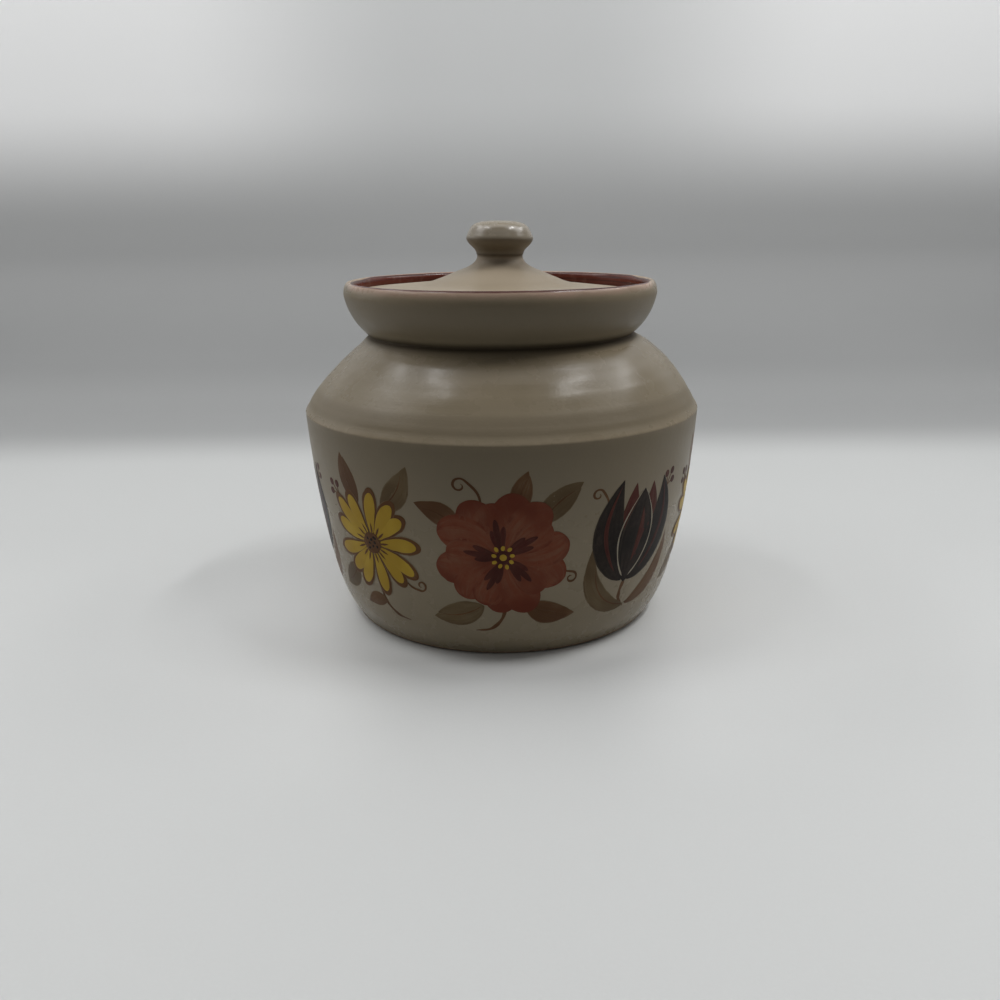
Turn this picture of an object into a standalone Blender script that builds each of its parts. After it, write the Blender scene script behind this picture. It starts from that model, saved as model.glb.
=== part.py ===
"""A stoneware cookie jar: a wide body with a sharp shoulder, and a knobbed lid set inside its flared collar.

Sizes are in millimetres and are turned into metres as each outline is made. The origin is the centre of the
foot on the table, +Z up. Every piece is turned round the Z axis from an outline of (radius, height) points.
"""

import math

import bpy

MM = 0.001
TURN_STEPS = 64
MERGE_DISTANCE = 0.00001

# Body outside, from the foot to the sharp shoulder
FOOT_RADIUS = 77.6
SHOULDER_RADIUS = 100.0
SHOULDER_HEIGHT = 106.0
SHOULDER_EDGE_ROUND = 1.4
BELLY_LEAN = 5.9
HEEL_TUCK = 6.3
HEEL_HEIGHT = 9.6
FOOT_EDGE_HEIGHT = 2.2
FOOT_EDGE_DEPTH = 2.8
FOOT_RING_WIDTH = 8.0
FOOT_RECESS_DEPTH = 2.0
FOOT_RECESS_SLOPE = 2.0
FOOT_RECESS_ROUND = 1.2

# Shoulder, neck and collar outside
SHOULDER_RISE = 36.0
SHOULDER_BULGE = 3.2
NECK_RADIUS = 66.2
NECK_CREASE_ROUND = 0.8
COLLAR_RISE = 20.0
COLLAR_FLARE = 11.9
COLLAR_BULGE = 2.2

# Lip of the collar
LIP_RISE = 5.0
LIP_OUTER_WIDTH = 2.6
LIP_INNER_WIDTH = 2.3
LIP_INNER_DROP = 2.8

# Inside of the body
WALL = 5.5
NECK_WALL = 5.4
FLOOR_THICKNESS = 6.5
INNER_HEEL_ROUND = 14.0
THROAT_DROP = 1.0
THROAT_ROUND = 5.0
LEDGE_DEPTH = 9.5
LEDGE_WIDTH = 6.0
LEDGE_LIP_ROUND = 1.5
LEDGE_CORNER_ROUND = 1.0

# Lid: its gaps to the collar and its outline above the seat
SEAT_GAP = 0.3
LID_CLEARANCE = 1.3
LID_EDGE_THICKNESS = 5.0
LID_EDGE_ROUND = 1.6
LID_CONE_RISE = 3.4
LID_FLARE_RADIUS = 35.7
LID_FLARE_RISE = 9.1
LID_FLARE_BLEND = 38.0
LID_WALL = 5.0

# Waist in the middle of the lid, where the knob was joined on
WAIST_RADIUS = 11.1
WAIST_RISE = 3.6
WAIST_ROUND = 3.4
LID_MIDDLE_THICKNESS = 9.5
LID_HOLLOW_RADIUS = 8.0
LID_HOLLOW_ROUND = 6.0

# Ring under the lid that keeps it centred in the throat
RING_CLEARANCE = 1.2
RING_DEPTH = 7.0
RING_WIDTH = 4.5
RING_DRAFT = 0.5
RING_TIP_ROUND = 1.4
RING_ROOT_ROUND = 1.5

# Knob above the waist
KNOB_JOINT_GAP = 0.3
KNOB_NECK_HEIGHT = 1.8
KNOB_NECK_ROUND = 3.0
KNOB_RADIUS = 16.5
KNOB_WIDEST_HEIGHT = 8.5
KNOB_EDGE_ROUND = 2.4
KNOB_DOME_HEIGHT = 8.6
KNOB_DOME_SQUARENESS = 2.7

# Points along each curve, and how much of a straight run a rounding may take
BELLY_POINTS = 11
INNER_BELLY_POINTS = 7
SHOULDER_POINTS = 7
INNER_SHOULDER_POINTS = 6
COLLAR_POINTS = 6
LIP_POINTS = 5
HEEL_POINTS = 5
DOME_POINTS = 9
ROUND_POINTS = 3
WIDE_ROUND_POINTS = 5
WIDE_ROUND_FROM = 8.0
ROUND_SHARE = 0.48

# Finishes: colour and roughness
BODY_GLAZE = ((0.36, 0.33, 0.27), 0.34)
LID_GLAZE = ((0.40, 0.36, 0.29), 0.32)
KNOB_GLAZE = ((0.38, 0.35, 0.28), 0.28)

# Sizes that follow from the ones above
BELLY_BOW = SHOULDER_RADIUS - FOOT_RADIUS - BELLY_LEAN - HEEL_TUCK
NECK_HEIGHT = SHOULDER_HEIGHT + SHOULDER_RISE
COLLAR_HEIGHT = NECK_HEIGHT + COLLAR_RISE
COLLAR_RADIUS = NECK_RADIUS + COLLAR_FLARE
LIP_HEIGHT = COLLAR_HEIGHT + LIP_RISE
LIP_CREST_RADIUS = COLLAR_RADIUS - LIP_OUTER_WIDTH
BORE_RADIUS = LIP_CREST_RADIUS - LIP_INNER_WIDTH
FLOOR_HEIGHT = FOOT_RECESS_DEPTH + FLOOR_THICKNESS
THROAT_RADIUS = NECK_RADIUS - NECK_WALL
THROAT_HEIGHT = NECK_HEIGHT - THROAT_DROP
LEDGE_HEIGHT = LIP_HEIGHT - LEDGE_DEPTH
LEDGE_INNER_RADIUS = BORE_RADIUS - LEDGE_WIDTH
THROAT_FLARE = (LEDGE_INNER_RADIUS - THROAT_RADIUS) / (LEDGE_HEIGHT - THROAT_HEIGHT)
LID_SEAT_HEIGHT = LEDGE_HEIGHT + SEAT_GAP
LID_RADIUS = BORE_RADIUS - LID_CLEARANCE
LID_FLARE_FOOT = LID_EDGE_THICKNESS + LID_CONE_RISE
LID_FLARE_TOP = LID_FLARE_FOOT + LID_FLARE_RISE
WAIST_HEIGHT = LID_FLARE_TOP + WAIST_RISE
RING_TIP_HEIGHT = LID_SEAT_HEIGHT - RING_DEPTH
RING_RADIUS = THROAT_RADIUS + THROAT_FLARE * (RING_TIP_HEIGHT - THROAT_HEIGHT) - RING_CLEARANCE


def clear_scene():
    for scene_object in list(bpy.data.objects):
        bpy.data.objects.remove(scene_object, do_unlink=True)


def belly_radius(height):
    """Outside radius at a height: a leaning, bowed wall that tucks in at the heel."""
    below = 1.0 - height / SHOULDER_HEIGHT
    tuck = HEEL_TUCK * math.exp(-height / HEEL_HEIGHT)
    return SHOULDER_RADIUS - BELLY_LEAN * below - BELLY_BOW * below**2 - tuck


def belly_curve(low, count):
    """The belly from a low height up to the shoulder, with its points closer together at the heel."""
    points = []
    for step in range(count):
        share = 1.0 - math.cos(math.pi / 2.0 * step / (count - 1))
        height = low + (SHOULDER_HEIGHT - low) * share
        points.append((belly_radius(height), height))
    return points


def bulged(start, end, bulge, count):
    """The arc from start to end that stands out to the right of the straight line by the bulge."""
    chord = math.dist(start, end)
    radius = chord**2 / (8.0 * bulge) + bulge / 2.0
    half = math.asin(chord / (2.0 * radius))
    along = ((end[0] - start[0]) / chord, (end[1] - start[1]) / chord)
    points = []
    for step in range(count):
        angle = half * (2.0 * step / (count - 1) - 1.0)
        travel = chord / 2.0 + radius * math.sin(angle)
        out = radius * (math.cos(angle) - math.cos(half))
        points.append((start[0] + along[0] * travel + along[1] * out, start[1] + along[1] * travel - along[0] * out))
    return points


def shoulder_curve(count):
    return bulged((SHOULDER_RADIUS, SHOULDER_HEIGHT), (NECK_RADIUS, NECK_HEIGHT), SHOULDER_BULGE, count)


def collar_curve(count):
    return bulged((NECK_RADIUS, NECK_HEIGHT), (COLLAR_RADIUS, COLLAR_HEIGHT), COLLAR_BULGE, count)


def oval_arc(centre, from_angle, to_angle, half_width, half_height, count):
    """Points round an oval between two angles in degrees, with 0 pointing outwards and 90 up."""
    points = []
    for step in range(count):
        angle = math.radians(from_angle + (to_angle - from_angle) * step / (count - 1))
        points.append((centre[0] + half_width * math.cos(angle), centre[1] + half_height * math.sin(angle)))
    return points


def inset(curve, distance):
    """The curve moved to its left by a distance, at right angles to its own run."""
    moved = []
    for index, (radius, height) in enumerate(curve):
        before = curve[max(index - 1, 0)]
        after = curve[min(index + 1, len(curve) - 1)]
        run = math.dist(before, after)
        across = (before[1] - after[1]) / run * distance
        up = (after[0] - before[0]) / run * distance
        moved.append((radius + across, height + up))
    return moved


def rounded_corner(before, corner, after, rounding):
    """The arc that replaces a corner, made smaller where its straight runs are short."""
    to_before = math.atan2(before[1] - corner[1], before[0] - corner[0])
    to_after = math.atan2(after[1] - corner[1], after[0] - corner[0])
    opening = (to_after - to_before + math.pi) % (2.0 * math.pi) - math.pi
    half = abs(opening) / 2.0
    shortest = min(math.dist(before[:2], corner[:2]), math.dist(after[:2], corner[:2]))
    radius = min(rounding, ROUND_SHARE * shortest * math.tan(half))
    middle = to_before + opening / 2.0
    reach = radius / math.sin(half)
    centre = (corner[0] + reach * math.cos(middle), corner[1] + reach * math.sin(middle))
    start = middle + math.pi - math.copysign(math.pi / 2.0 - half, -opening)
    sweep = math.copysign(math.pi - 2.0 * half, -opening)
    count = WIDE_ROUND_POINTS if rounding > WIDE_ROUND_FROM else ROUND_POINTS
    turns = [start + sweep * step / (count - 1) for step in range(count)]
    return [(centre[0] + radius * math.cos(turn), centre[1] + radius * math.sin(turn)) for turn in turns]


def rounded_outline(corners):
    """An outline from corners (radius, height, rounding), or (radius, height) where a point stays as it is."""
    outline = []
    for index, corner in enumerate(corners):
        if len(corner) == 3:
            outline += rounded_corner(corners[index - 1], corner, corners[index + 1], corner[2])
        else:
            outline.append(corner)
    return outline


def inner_wall_outline():
    """From the middle of the floor, round the heel and up the inner wall to just below the throat."""
    wall_foot = FLOOR_HEIGHT + INNER_HEEL_ROUND
    curve = belly_curve(wall_foot, INNER_BELLY_POINTS) + shoulder_curve(INNER_SHOULDER_POINTS)[1:]
    wall = inset(curve, WALL)
    centre = (wall[0][0] - INNER_HEEL_ROUND, wall[0][1])
    heel_height = wall[0][1] - FLOOR_HEIGHT
    heel = oval_arc(centre, -90.0, 0.0, INNER_HEEL_ROUND, heel_height, HEEL_POINTS)
    return [(0.0, FLOOR_HEIGHT)] + heel + wall[1:]


def ledge_outline():
    """Through the throat and across the ledge that carries the lid."""
    return [
        (THROAT_RADIUS, THROAT_HEIGHT, THROAT_ROUND),
        (LEDGE_INNER_RADIUS, LEDGE_HEIGHT, LEDGE_LIP_ROUND),
        (BORE_RADIUS, LEDGE_HEIGHT, LEDGE_CORNER_ROUND),
    ]


def lip_outline():
    """Over the rounded lip, from the bore to the widest part of the collar."""
    inner_centre = (LIP_CREST_RADIUS, LIP_HEIGHT - LIP_INNER_DROP)
    outer_centre = (LIP_CREST_RADIUS, COLLAR_HEIGHT)
    inner = oval_arc(inner_centre, 180.0, 90.0, LIP_INNER_WIDTH, LIP_INNER_DROP, LIP_POINTS)
    outer = oval_arc(outer_centre, 90.0, 0.0, LIP_OUTER_WIDTH, LIP_RISE, LIP_POINTS)
    return inner + outer[1:]


def outer_outline():
    """From the collar down the neck, the shoulder and the belly to the heel."""
    collar = collar_curve(COLLAR_POINTS)[-2:0:-1]
    crease = [(NECK_RADIUS, NECK_HEIGHT, NECK_CREASE_ROUND)]
    shoulder = shoulder_curve(SHOULDER_POINTS)[-2:0:-1]
    edge = [(SHOULDER_RADIUS, SHOULDER_HEIGHT, SHOULDER_EDGE_ROUND)]
    belly = belly_curve(FOOT_EDGE_HEIGHT, BELLY_POINTS)[-2::-1]
    return collar + crease + shoulder + edge + belly


def foot_outline():
    """Round the foot's edge, across the ring that stands on the table and into the recess under the floor."""
    ring_outer = belly_radius(FOOT_EDGE_HEIGHT) - FOOT_EDGE_DEPTH
    ring_inner = ring_outer - FOOT_RING_WIDTH
    recess_radius = ring_inner - FOOT_RECESS_SLOPE
    edge = oval_arc((ring_outer, FOOT_EDGE_HEIGHT), 0.0, -90.0, FOOT_EDGE_DEPTH, FOOT_EDGE_HEIGHT, LIP_POINTS)
    recess = (recess_radius, FOOT_RECESS_DEPTH, FOOT_RECESS_ROUND)
    return edge[1:] + [(ring_inner, 0.0), recess, (0.0, FOOT_RECESS_DEPTH)]


def body_outline():
    inside = inner_wall_outline() + ledge_outline()
    return rounded_outline(inside + lip_outline() + outer_outline() + foot_outline())


def lid_top_height(radius):
    """Height of the lid's shallow cone above its seat."""
    return LID_EDGE_THICKNESS + LID_CONE_RISE * (LID_RADIUS - radius) / (LID_RADIUS - LID_FLARE_RADIUS)


def lid_top_outline():
    """The lid's upper side, from the waist down the flare and the cone to the edge, with the seat at height 0."""
    return [
        (0.0, WAIST_HEIGHT),
        (WAIST_RADIUS, WAIST_HEIGHT),
        (WAIST_RADIUS, LID_FLARE_TOP, WAIST_ROUND),
        (LID_FLARE_RADIUS, LID_FLARE_FOOT, LID_FLARE_BLEND),
        (LID_RADIUS, LID_EDGE_THICKNESS, LID_EDGE_ROUND),
        (LID_RADIUS, 0.0, LID_EDGE_ROUND),
    ]


def lid_under_outline():
    """The lid's under side: the ring that fits the throat, and inside it the hollow that follows the top."""
    ring_inner = RING_RADIUS - RING_WIDTH
    hollow_edge = ring_inner - RING_DRAFT
    hollow_top = WAIST_HEIGHT - LID_MIDDLE_THICKNESS
    return [
        (RING_RADIUS + RING_DRAFT, 0.0, RING_ROOT_ROUND),
        (RING_RADIUS, -RING_DEPTH, RING_TIP_ROUND),
        (ring_inner, -RING_DEPTH, RING_TIP_ROUND),
        (hollow_edge, lid_top_height(hollow_edge) - LID_WALL, RING_ROOT_ROUND),
        (LID_FLARE_RADIUS, LID_FLARE_FOOT - LID_WALL, LID_FLARE_BLEND),
        (LID_HOLLOW_RADIUS, hollow_top, LID_HOLLOW_ROUND),
        (0.0, hollow_top),
    ]


def lid_outline():
    return rounded_outline(lid_top_outline() + lid_under_outline())


def knob_outline():
    """The knob from the top of its dome down to the flat joint at its waist, at height 0."""
    outline = []
    power = 2.0 / KNOB_DOME_SQUARENESS
    for step in range(DOME_POINTS - 1):
        angle = math.pi / 2.0 * step / (DOME_POINTS - 1)
        rise = KNOB_DOME_HEIGHT * math.cos(angle) ** power
        outline.append((KNOB_RADIUS * math.sin(angle) ** power, KNOB_WIDEST_HEIGHT + rise))
    edge = (KNOB_RADIUS, KNOB_WIDEST_HEIGHT, KNOB_EDGE_ROUND)
    neck = (WAIST_RADIUS, KNOB_NECK_HEIGHT, KNOB_NECK_ROUND)
    return rounded_outline(outline + [edge, neck, (WAIST_RADIUS, 0.0), (0.0, 0.0)])


def turned_piece(name, outline, collection):
    """A closed body turned from an outline that starts and ends on the axis."""
    mesh = bpy.data.meshes.new(name)
    points = [(radius * MM, 0.0, height * MM) for radius, height in outline]
    edges = [(index, index + 1) for index in range(len(points) - 1)]
    mesh.from_pydata(points, edges, [])
    piece = bpy.data.objects.new(name, mesh)
    collection.objects.link(piece)
    turn = piece.modifiers.new("turned", "SCREW")
    turn.axis = "Z"
    turn.steps = TURN_STEPS
    turn.render_steps = TURN_STEPS
    turn.use_merge_vertices = True
    turn.merge_threshold = MERGE_DISTANCE
    turn.use_smooth_shade = True
    return piece


def glaze(name, finish):
    """A Principled material from a colour and a roughness."""
    colour, roughness = finish
    material = bpy.data.materials.new(name)
    material.use_nodes = True
    shader = material.node_tree.nodes["Principled BSDF"]
    shader.inputs["Base Color"].default_value = (*colour, 1.0)
    shader.inputs["Roughness"].default_value = roughness
    shader.inputs["Metallic"].default_value = 0.0
    material.diffuse_color = (*colour, 1.0)
    return material


def build_body(collection):
    body = turned_piece("jar_body", body_outline(), collection)
    body.data.materials.append(glaze("stoneware_body_glaze", BODY_GLAZE))


def build_lid(collection):
    """The lid and its knob, hung from an empty on the jar's axis at the lid's seat."""
    seat = bpy.data.objects.new("lid_seat", None)
    seat.location = (0.0, 0.0, LID_SEAT_HEIGHT * MM)
    collection.objects.link(seat)
    lid = turned_piece("lid", lid_outline(), collection)
    lid.data.materials.append(glaze("stoneware_lid_glaze", LID_GLAZE))
    lid.parent = seat
    knob = turned_piece("lid_knob", knob_outline(), collection)
    knob.data.materials.append(glaze("stoneware_knob_glaze", KNOB_GLAZE))
    knob.parent = seat
    knob.location = (0.0, 0.0, (WAIST_HEIGHT + KNOB_JOINT_GAP) * MM)


def main():
    clear_scene()
    collection = bpy.data.collections.new("cookie_jar")
    bpy.context.scene.collection.children.link(collection)
    build_body(collection)
    build_lid(collection)
    bpy.context.view_layer.update()


main()
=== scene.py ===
"""A stoneware cookie jar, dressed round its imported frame: the thrown body with its red-brown collar band
and its painted sprigs, the lid, and the lid's knob, on a pale sweep under soft studio light.

Lengths are written in millimetres and turned into metres as each shape is made. The jar stands on the origin,
+Z up, and its front looks along -Y.
"""

from __future__ import annotations

import logging
import math
from dataclasses import dataclass, field
from enum import Enum
from functools import reduce
from typing import Any, Callable

import bpy
import numpy as np
from mathutils import Matrix, Vector


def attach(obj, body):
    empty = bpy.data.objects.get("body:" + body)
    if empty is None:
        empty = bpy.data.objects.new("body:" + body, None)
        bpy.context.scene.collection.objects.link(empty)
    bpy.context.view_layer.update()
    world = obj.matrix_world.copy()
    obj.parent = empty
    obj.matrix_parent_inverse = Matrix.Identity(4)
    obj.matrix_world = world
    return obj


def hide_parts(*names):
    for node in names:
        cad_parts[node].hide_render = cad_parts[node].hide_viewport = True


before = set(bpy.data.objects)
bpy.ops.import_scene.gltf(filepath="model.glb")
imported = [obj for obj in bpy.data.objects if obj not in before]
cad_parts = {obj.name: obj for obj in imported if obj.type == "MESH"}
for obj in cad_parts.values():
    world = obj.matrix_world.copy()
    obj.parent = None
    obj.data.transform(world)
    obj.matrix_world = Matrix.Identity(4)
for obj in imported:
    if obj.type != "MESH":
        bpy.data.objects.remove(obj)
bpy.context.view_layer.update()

MM = 0.001
log = logging.getLogger("cookie_jar")

Point = tuple[float, float]
Colour = tuple[float, float, float]
Socket = bpy.types.NodeSocket

# -------------------- Node trees --------------------


class NodeBench:
    """Wires one node tree: adds nodes, sets their values and links them."""

    COLUMNS = 12

    def __init__(self, tree: bpy.types.NodeTree) -> None:
        """Takes the tree to wire."""
        self.tree = tree
        self.count = 0

    def feed(self, socket: Socket, value: Any) -> None:
        """Links a socket to an input, or sets the input's own value.

        Args:
            socket: the input.
            value: a socket to link from, or a plain value.
        """
        if isinstance(value, bpy.types.NodeSocket):
            self.tree.links.new(value, socket)
        elif isinstance(value, tuple) and socket.type == "RGBA" and len(value) == 3:
            socket.default_value = (*value, 1.0)
        else:
            socket.default_value = value

    def node(self, kind: str, inputs: dict | None = None, **settings: Any) -> bpy.types.Node:
        """Adds a node.

        Args:
            kind: the node's type.
            inputs: sockets or values, by the input's name or number.
            settings: the node's own settings, made before its inputs are fed.

        Returns:
            The new node.
        """
        node = self.tree.nodes.new(kind)
        node.location = (210.0 * (self.count % self.COLUMNS), -260.0 * (self.count // self.COLUMNS))
        self.count += 1
        for name, value in settings.items():
            setattr(node, name, value)
        for key, value in (inputs or {}).items():
            self.feed(node.inputs[key], value)
        return node

    def made(self, kind: str, inputs: dict | None = None, **settings: Any) -> Socket:
        """The first output of a new node, which is added as node() does."""
        return self.node(kind, inputs, **settings).outputs[0]

    def times(self, *values: Any) -> Socket:
        """The product of numbers, multiplied from left to right."""
        return reduce(lambda product, value: self.math("MULTIPLY", product, value), values)

    def distance(self, x: Any, y: Any) -> Socket:
        """How far a place is from the axis."""
        return self.math("SQRT", self.math("ADD", self.times(x, x), self.times(y, y)))

    def math(self, operation: str, *values: Any) -> Socket:
        """A sum on numbers."""
        return self.made("ShaderNodeMath", dict(enumerate(values)), operation=operation)

    def vector(self, operation: str, *values: Any) -> Socket:
        """A sum on vectors."""
        return self.made("ShaderNodeVectorMath", dict(enumerate(values)), operation=operation)

    def scaled(self, vector: Any, factor: Any) -> Socket:
        """A vector times a number."""
        return self.made("ShaderNodeVectorMath", {0: vector, "Scale": factor}, operation="SCALE")

    def split(self, vector: Any) -> tuple[Socket, Socket, Socket]:
        """The three parts of a vector."""
        parts = self.node("ShaderNodeSeparateXYZ", {0: vector}).outputs
        return parts[0], parts[1], parts[2]

    def join(self, x: Any, y: Any, z: Any) -> Socket:
        """A vector from its three parts."""
        return self.made("ShaderNodeCombineXYZ", {0: x, 1: y, 2: z})

    def noise(
        self, vector: Any, scale: Any, detail: float = 2.0, roughness: float = 0.5, out: str = "Fac"
    ) -> Socket:
        """A soft random pattern from 0 to 1: its blobs a unit, its finer layers and their strength."""
        inputs = {"Vector": vector, "Scale": scale, "Detail": detail, "Roughness": roughness}
        return self.node("ShaderNodeTexNoise", inputs).outputs[out]

    def shake(self, vector: Any, scale: float, detail: float, roughness: float) -> Socket:
        """A random push in every direction, with noise's own inputs."""
        push = self.noise(vector, scale, detail, roughness, out="Color")
        return self.vector("SUBTRACT", push, (0.5, 0.5, 0.5))

    def ramp(self, value: Any, low: Any, high: Any, to_low: Any = 0.0, to_high: Any = 1.0) -> Socket:
        """A smooth step between two values, held at both ends."""
        inputs = {0: value, 1: low, 2: high, 3: to_low, 4: to_high}
        return self.made("ShaderNodeMapRange", inputs, interpolation_type="SMOOTHSTEP")

    def blend(self, share: Any, first: Any, second: Any) -> Socket:
        """One colour laid over another."""
        inputs = {0: share, 6: first, 7: second}
        return self.node("ShaderNodeMix", inputs, data_type="RGBA").outputs[2]

    def balance(self, share: Any, first: Any, second: Any) -> Socket:
        """A number between two others."""
        return self.made("ShaderNodeMix", {0: share, 2: first, 3: second}, data_type="FLOAT")

    def keep(
        self, geometry: Socket, name: str, value: Any, sort: str = "FLOAT", domain: str = "POINT"
    ) -> Socket:
        """The geometry with a named value written on it, of a data type and on a domain."""
        inputs = {"Geometry": geometry, "Name": name, "Value": value}
        return self.made("GeometryNodeStoreNamedAttribute", inputs, data_type=sort, domain=domain)

    def carried(self, name: str, sort: str = "FLOAT") -> Socket:
        """A named value that the geometry carries, of a data type."""
        return self.made("GeometryNodeInputNamedAttribute", {"Name": name}, data_type=sort)

    def closed(self, result: bpy.types.Node, **values: Any) -> bpy.types.NodeTree:
        """Feeds a group's outputs.

        Args:
            result: the group's output node.
            values: what each output gives, by its name.

        Returns:
            The finished tree.
        """
        for label, value in values.items():
            self.feed(result.inputs[label], value)
        return self.tree


SOCKETS = {
    "geometry": "NodeSocketGeometry",
    "value": "NodeSocketFloat",
    "count": "NodeSocketInt",
    "vector": "NodeSocketVector",
    "colour": "NodeSocketColor",
    "object": "NodeSocketObject",
    "material": "NodeSocketMaterial",
}


def new_group(
    name: str, kind: str, inputs: dict[str, str], outputs: dict[str, str]
) -> tuple[NodeBench, dict[str, Socket], bpy.types.Node]:
    """Starts a node group with named sockets.

    Args:
        name: the group's name.
        kind: the tree's type.
        inputs: the names of the inputs of each sort in SOCKETS.
        outputs: the names of the outputs of each sort.

    Returns:
        The bench that wires it, its inputs by name, and its output node.
    """
    tree = bpy.data.node_groups.new(name, kind)
    for way, sorts in (("INPUT", inputs), ("OUTPUT", outputs)):
        for sort, labels in sorts.items():
            for label in labels.split(", "):
                tree.interface.new_socket(name=label, in_out=way, socket_type=SOCKETS[sort])
    bench = NodeBench(tree)
    given = bench.node("NodeGroupInput").outputs
    result = bench.node("NodeGroupOutput")
    return bench, {socket.name: socket for socket in given if socket.name}, result


# -------------------- Outlines --------------------


def bulged(start: Point, end: Point, bulge: float, count: int) -> list[Point]:
    """An arc that stands out to the right of the straight line between its ends.

    Args:
        start: where it begins.
        end: where it ends.
        bulge: how far its middle stands out.
        count: how many points it has.

    Returns:
        The points along it.
    """
    chord = math.dist(start, end)
    radius = chord**2 / (8.0 * bulge) + bulge / 2.0
    half = math.asin(chord / (2.0 * radius))
    along = ((end[0] - start[0]) / chord, (end[1] - start[1]) / chord)
    points = []
    for angle in np.linspace(-half, half, count):
        travel = chord / 2.0 + radius * math.sin(angle)
        out = radius * (math.cos(angle) - math.cos(half))
        points.append(
            (start[0] + along[0] * travel + along[1] * out, start[1] + along[1] * travel - along[0] * out)
        )
    return points


def oval_arc(centre: Point, turns: Point, half_width: float, half_height: float, count: int) -> list[Point]:
    """Points round an oval."""
    angles = np.radians(np.linspace(turns[0], turns[1], count))
    return [(centre[0] + half_width * math.cos(a), centre[1] + half_height * math.sin(a)) for a in angles]


def inset(curve: list[Point], distance: float) -> list[Point]:
    """A curve moved to its left.

    Args:
        curve: the points of the curve.
        distance: how far it moves, at right angles to its run.

    Returns:
        The moved points.
    """
    line = np.array(curve)
    run = np.gradient(line, axis=0)
    run /= np.linalg.norm(run, axis=1)[:, None]
    moved = line + distance * np.column_stack((-run[:, 1], run[:, 0]))
    return [tuple(point) for point in moved]


def threaded(knots: np.ndarray, along: np.ndarray) -> np.ndarray:
    """A smooth line through some points.

    Args:
        knots: the points, one row each.
        along: the places wanted, from 0 at the first point to 1 at the last.

    Returns:
        The line's points, one row each.
    """
    padded = np.vstack((2 * knots[0] - knots[1], knots, 2 * knots[-1] - knots[-2]))
    spot = along * (len(knots) - 1)
    cell = np.minimum(spot.astype(int), len(knots) - 2)
    t = (spot - cell)[:, None]
    a, b, c, d = (padded[cell + k] for k in range(4))
    return 0.5 * (2 * b + (c - a) * t + (2 * a - 5 * b + 4 * c - d) * t**2 + (3 * b - a - 3 * c + d) * t**3)


def swung(knots: np.ndarray, along: np.ndarray) -> np.ndarray:
    """A curve from the first of three points to the last, drawn towards the middle one."""
    t = along[:, None]
    return (1 - t) ** 2 * knots[0] + 2 * t * (1 - t) * knots[1] + t**2 * knots[2]


def rounded_corner(
    before: Point, corner: tuple[float, float, float], after: Point, step: float = 0.4
) -> list[Point]:
    """The arc that replaces a corner, smaller where its straight runs are short.

    Args:
        before: the point before the corner.
        corner: the corner and its rounding.
        after: the point after it.
        step: the distance between the arc's points.

    Returns:
        The points along the arc.
    """
    to_before = math.atan2(before[1] - corner[1], before[0] - corner[0])
    to_after = math.atan2(after[1] - corner[1], after[0] - corner[0])
    opening = (to_after - to_before + math.pi) % (2.0 * math.pi) - math.pi
    half = abs(opening) / 2.0
    shortest = min(math.dist(before[:2], corner[:2]), math.dist(after[:2], corner[:2]))
    radius = min(corner[2], 0.48 * shortest * math.tan(half))
    middle = to_before + opening / 2.0
    reach = radius / math.sin(half)
    centre = (corner[0] + reach * math.cos(middle), corner[1] + reach * math.sin(middle))
    start = middle + math.pi - math.copysign(math.pi / 2.0 - half, -opening)
    sweep = math.copysign(math.pi - 2.0 * half, -opening)
    count = max(5, math.ceil(radius * abs(sweep) / step))
    turns = start + sweep * np.linspace(0.0, 1.0, count)
    return [(centre[0] + radius * math.cos(turn), centre[1] + radius * math.sin(turn)) for turn in turns]


def rounded_outline(corners: list[tuple]) -> list[Point]:
    """An outline with its corners rounded.

    Args:
        corners: points (radius, height), and corners (radius, height, rounding).

    Returns:
        The points of the outline.
    """
    outline = []
    for index, corner in enumerate(corners):
        if len(corner) == 3:
            outline += rounded_corner(corners[index - 1], corner, corners[index + 1])
        else:
            outline.append(corner)
    return outline


def filled_runs(outline: list[Point], longest: float) -> np.ndarray:
    """An outline with points added along its long straight runs.

    Args:
        outline: the points of the outline.
        longest: the longest distance that stays between two of them.

    Returns:
        All points, one row each.
    """
    points = [outline[0]]
    for start, end in zip(outline, outline[1:]):
        if math.dist(start, end) < 1e-6:
            continue
        steps = max(1, math.ceil(math.dist(start, end) / longest))
        points += [tuple(np.array(start) + (np.array(end) - start) * k / steps) for k in range(1, steps + 1)]
    return np.array(points)


def window(value: np.ndarray, low: float, high: float, soft: float) -> np.ndarray:
    """A soft mask of the values between two limits.

    Args:
        value: the values looked at.
        low: the lower limit.
        high: the upper limit.
        soft: how wide each limit's fade is.

    Returns:
        1 well inside the limits and 0 outside.
    """
    rise = np.clip((value - low) / soft, 0.0, 1.0)
    fall = np.clip((high - value) / soft, 0.0, 1.0)
    return rise * rise * (3 - 2 * rise) * fall * fall * (3 - 2 * fall)


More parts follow.
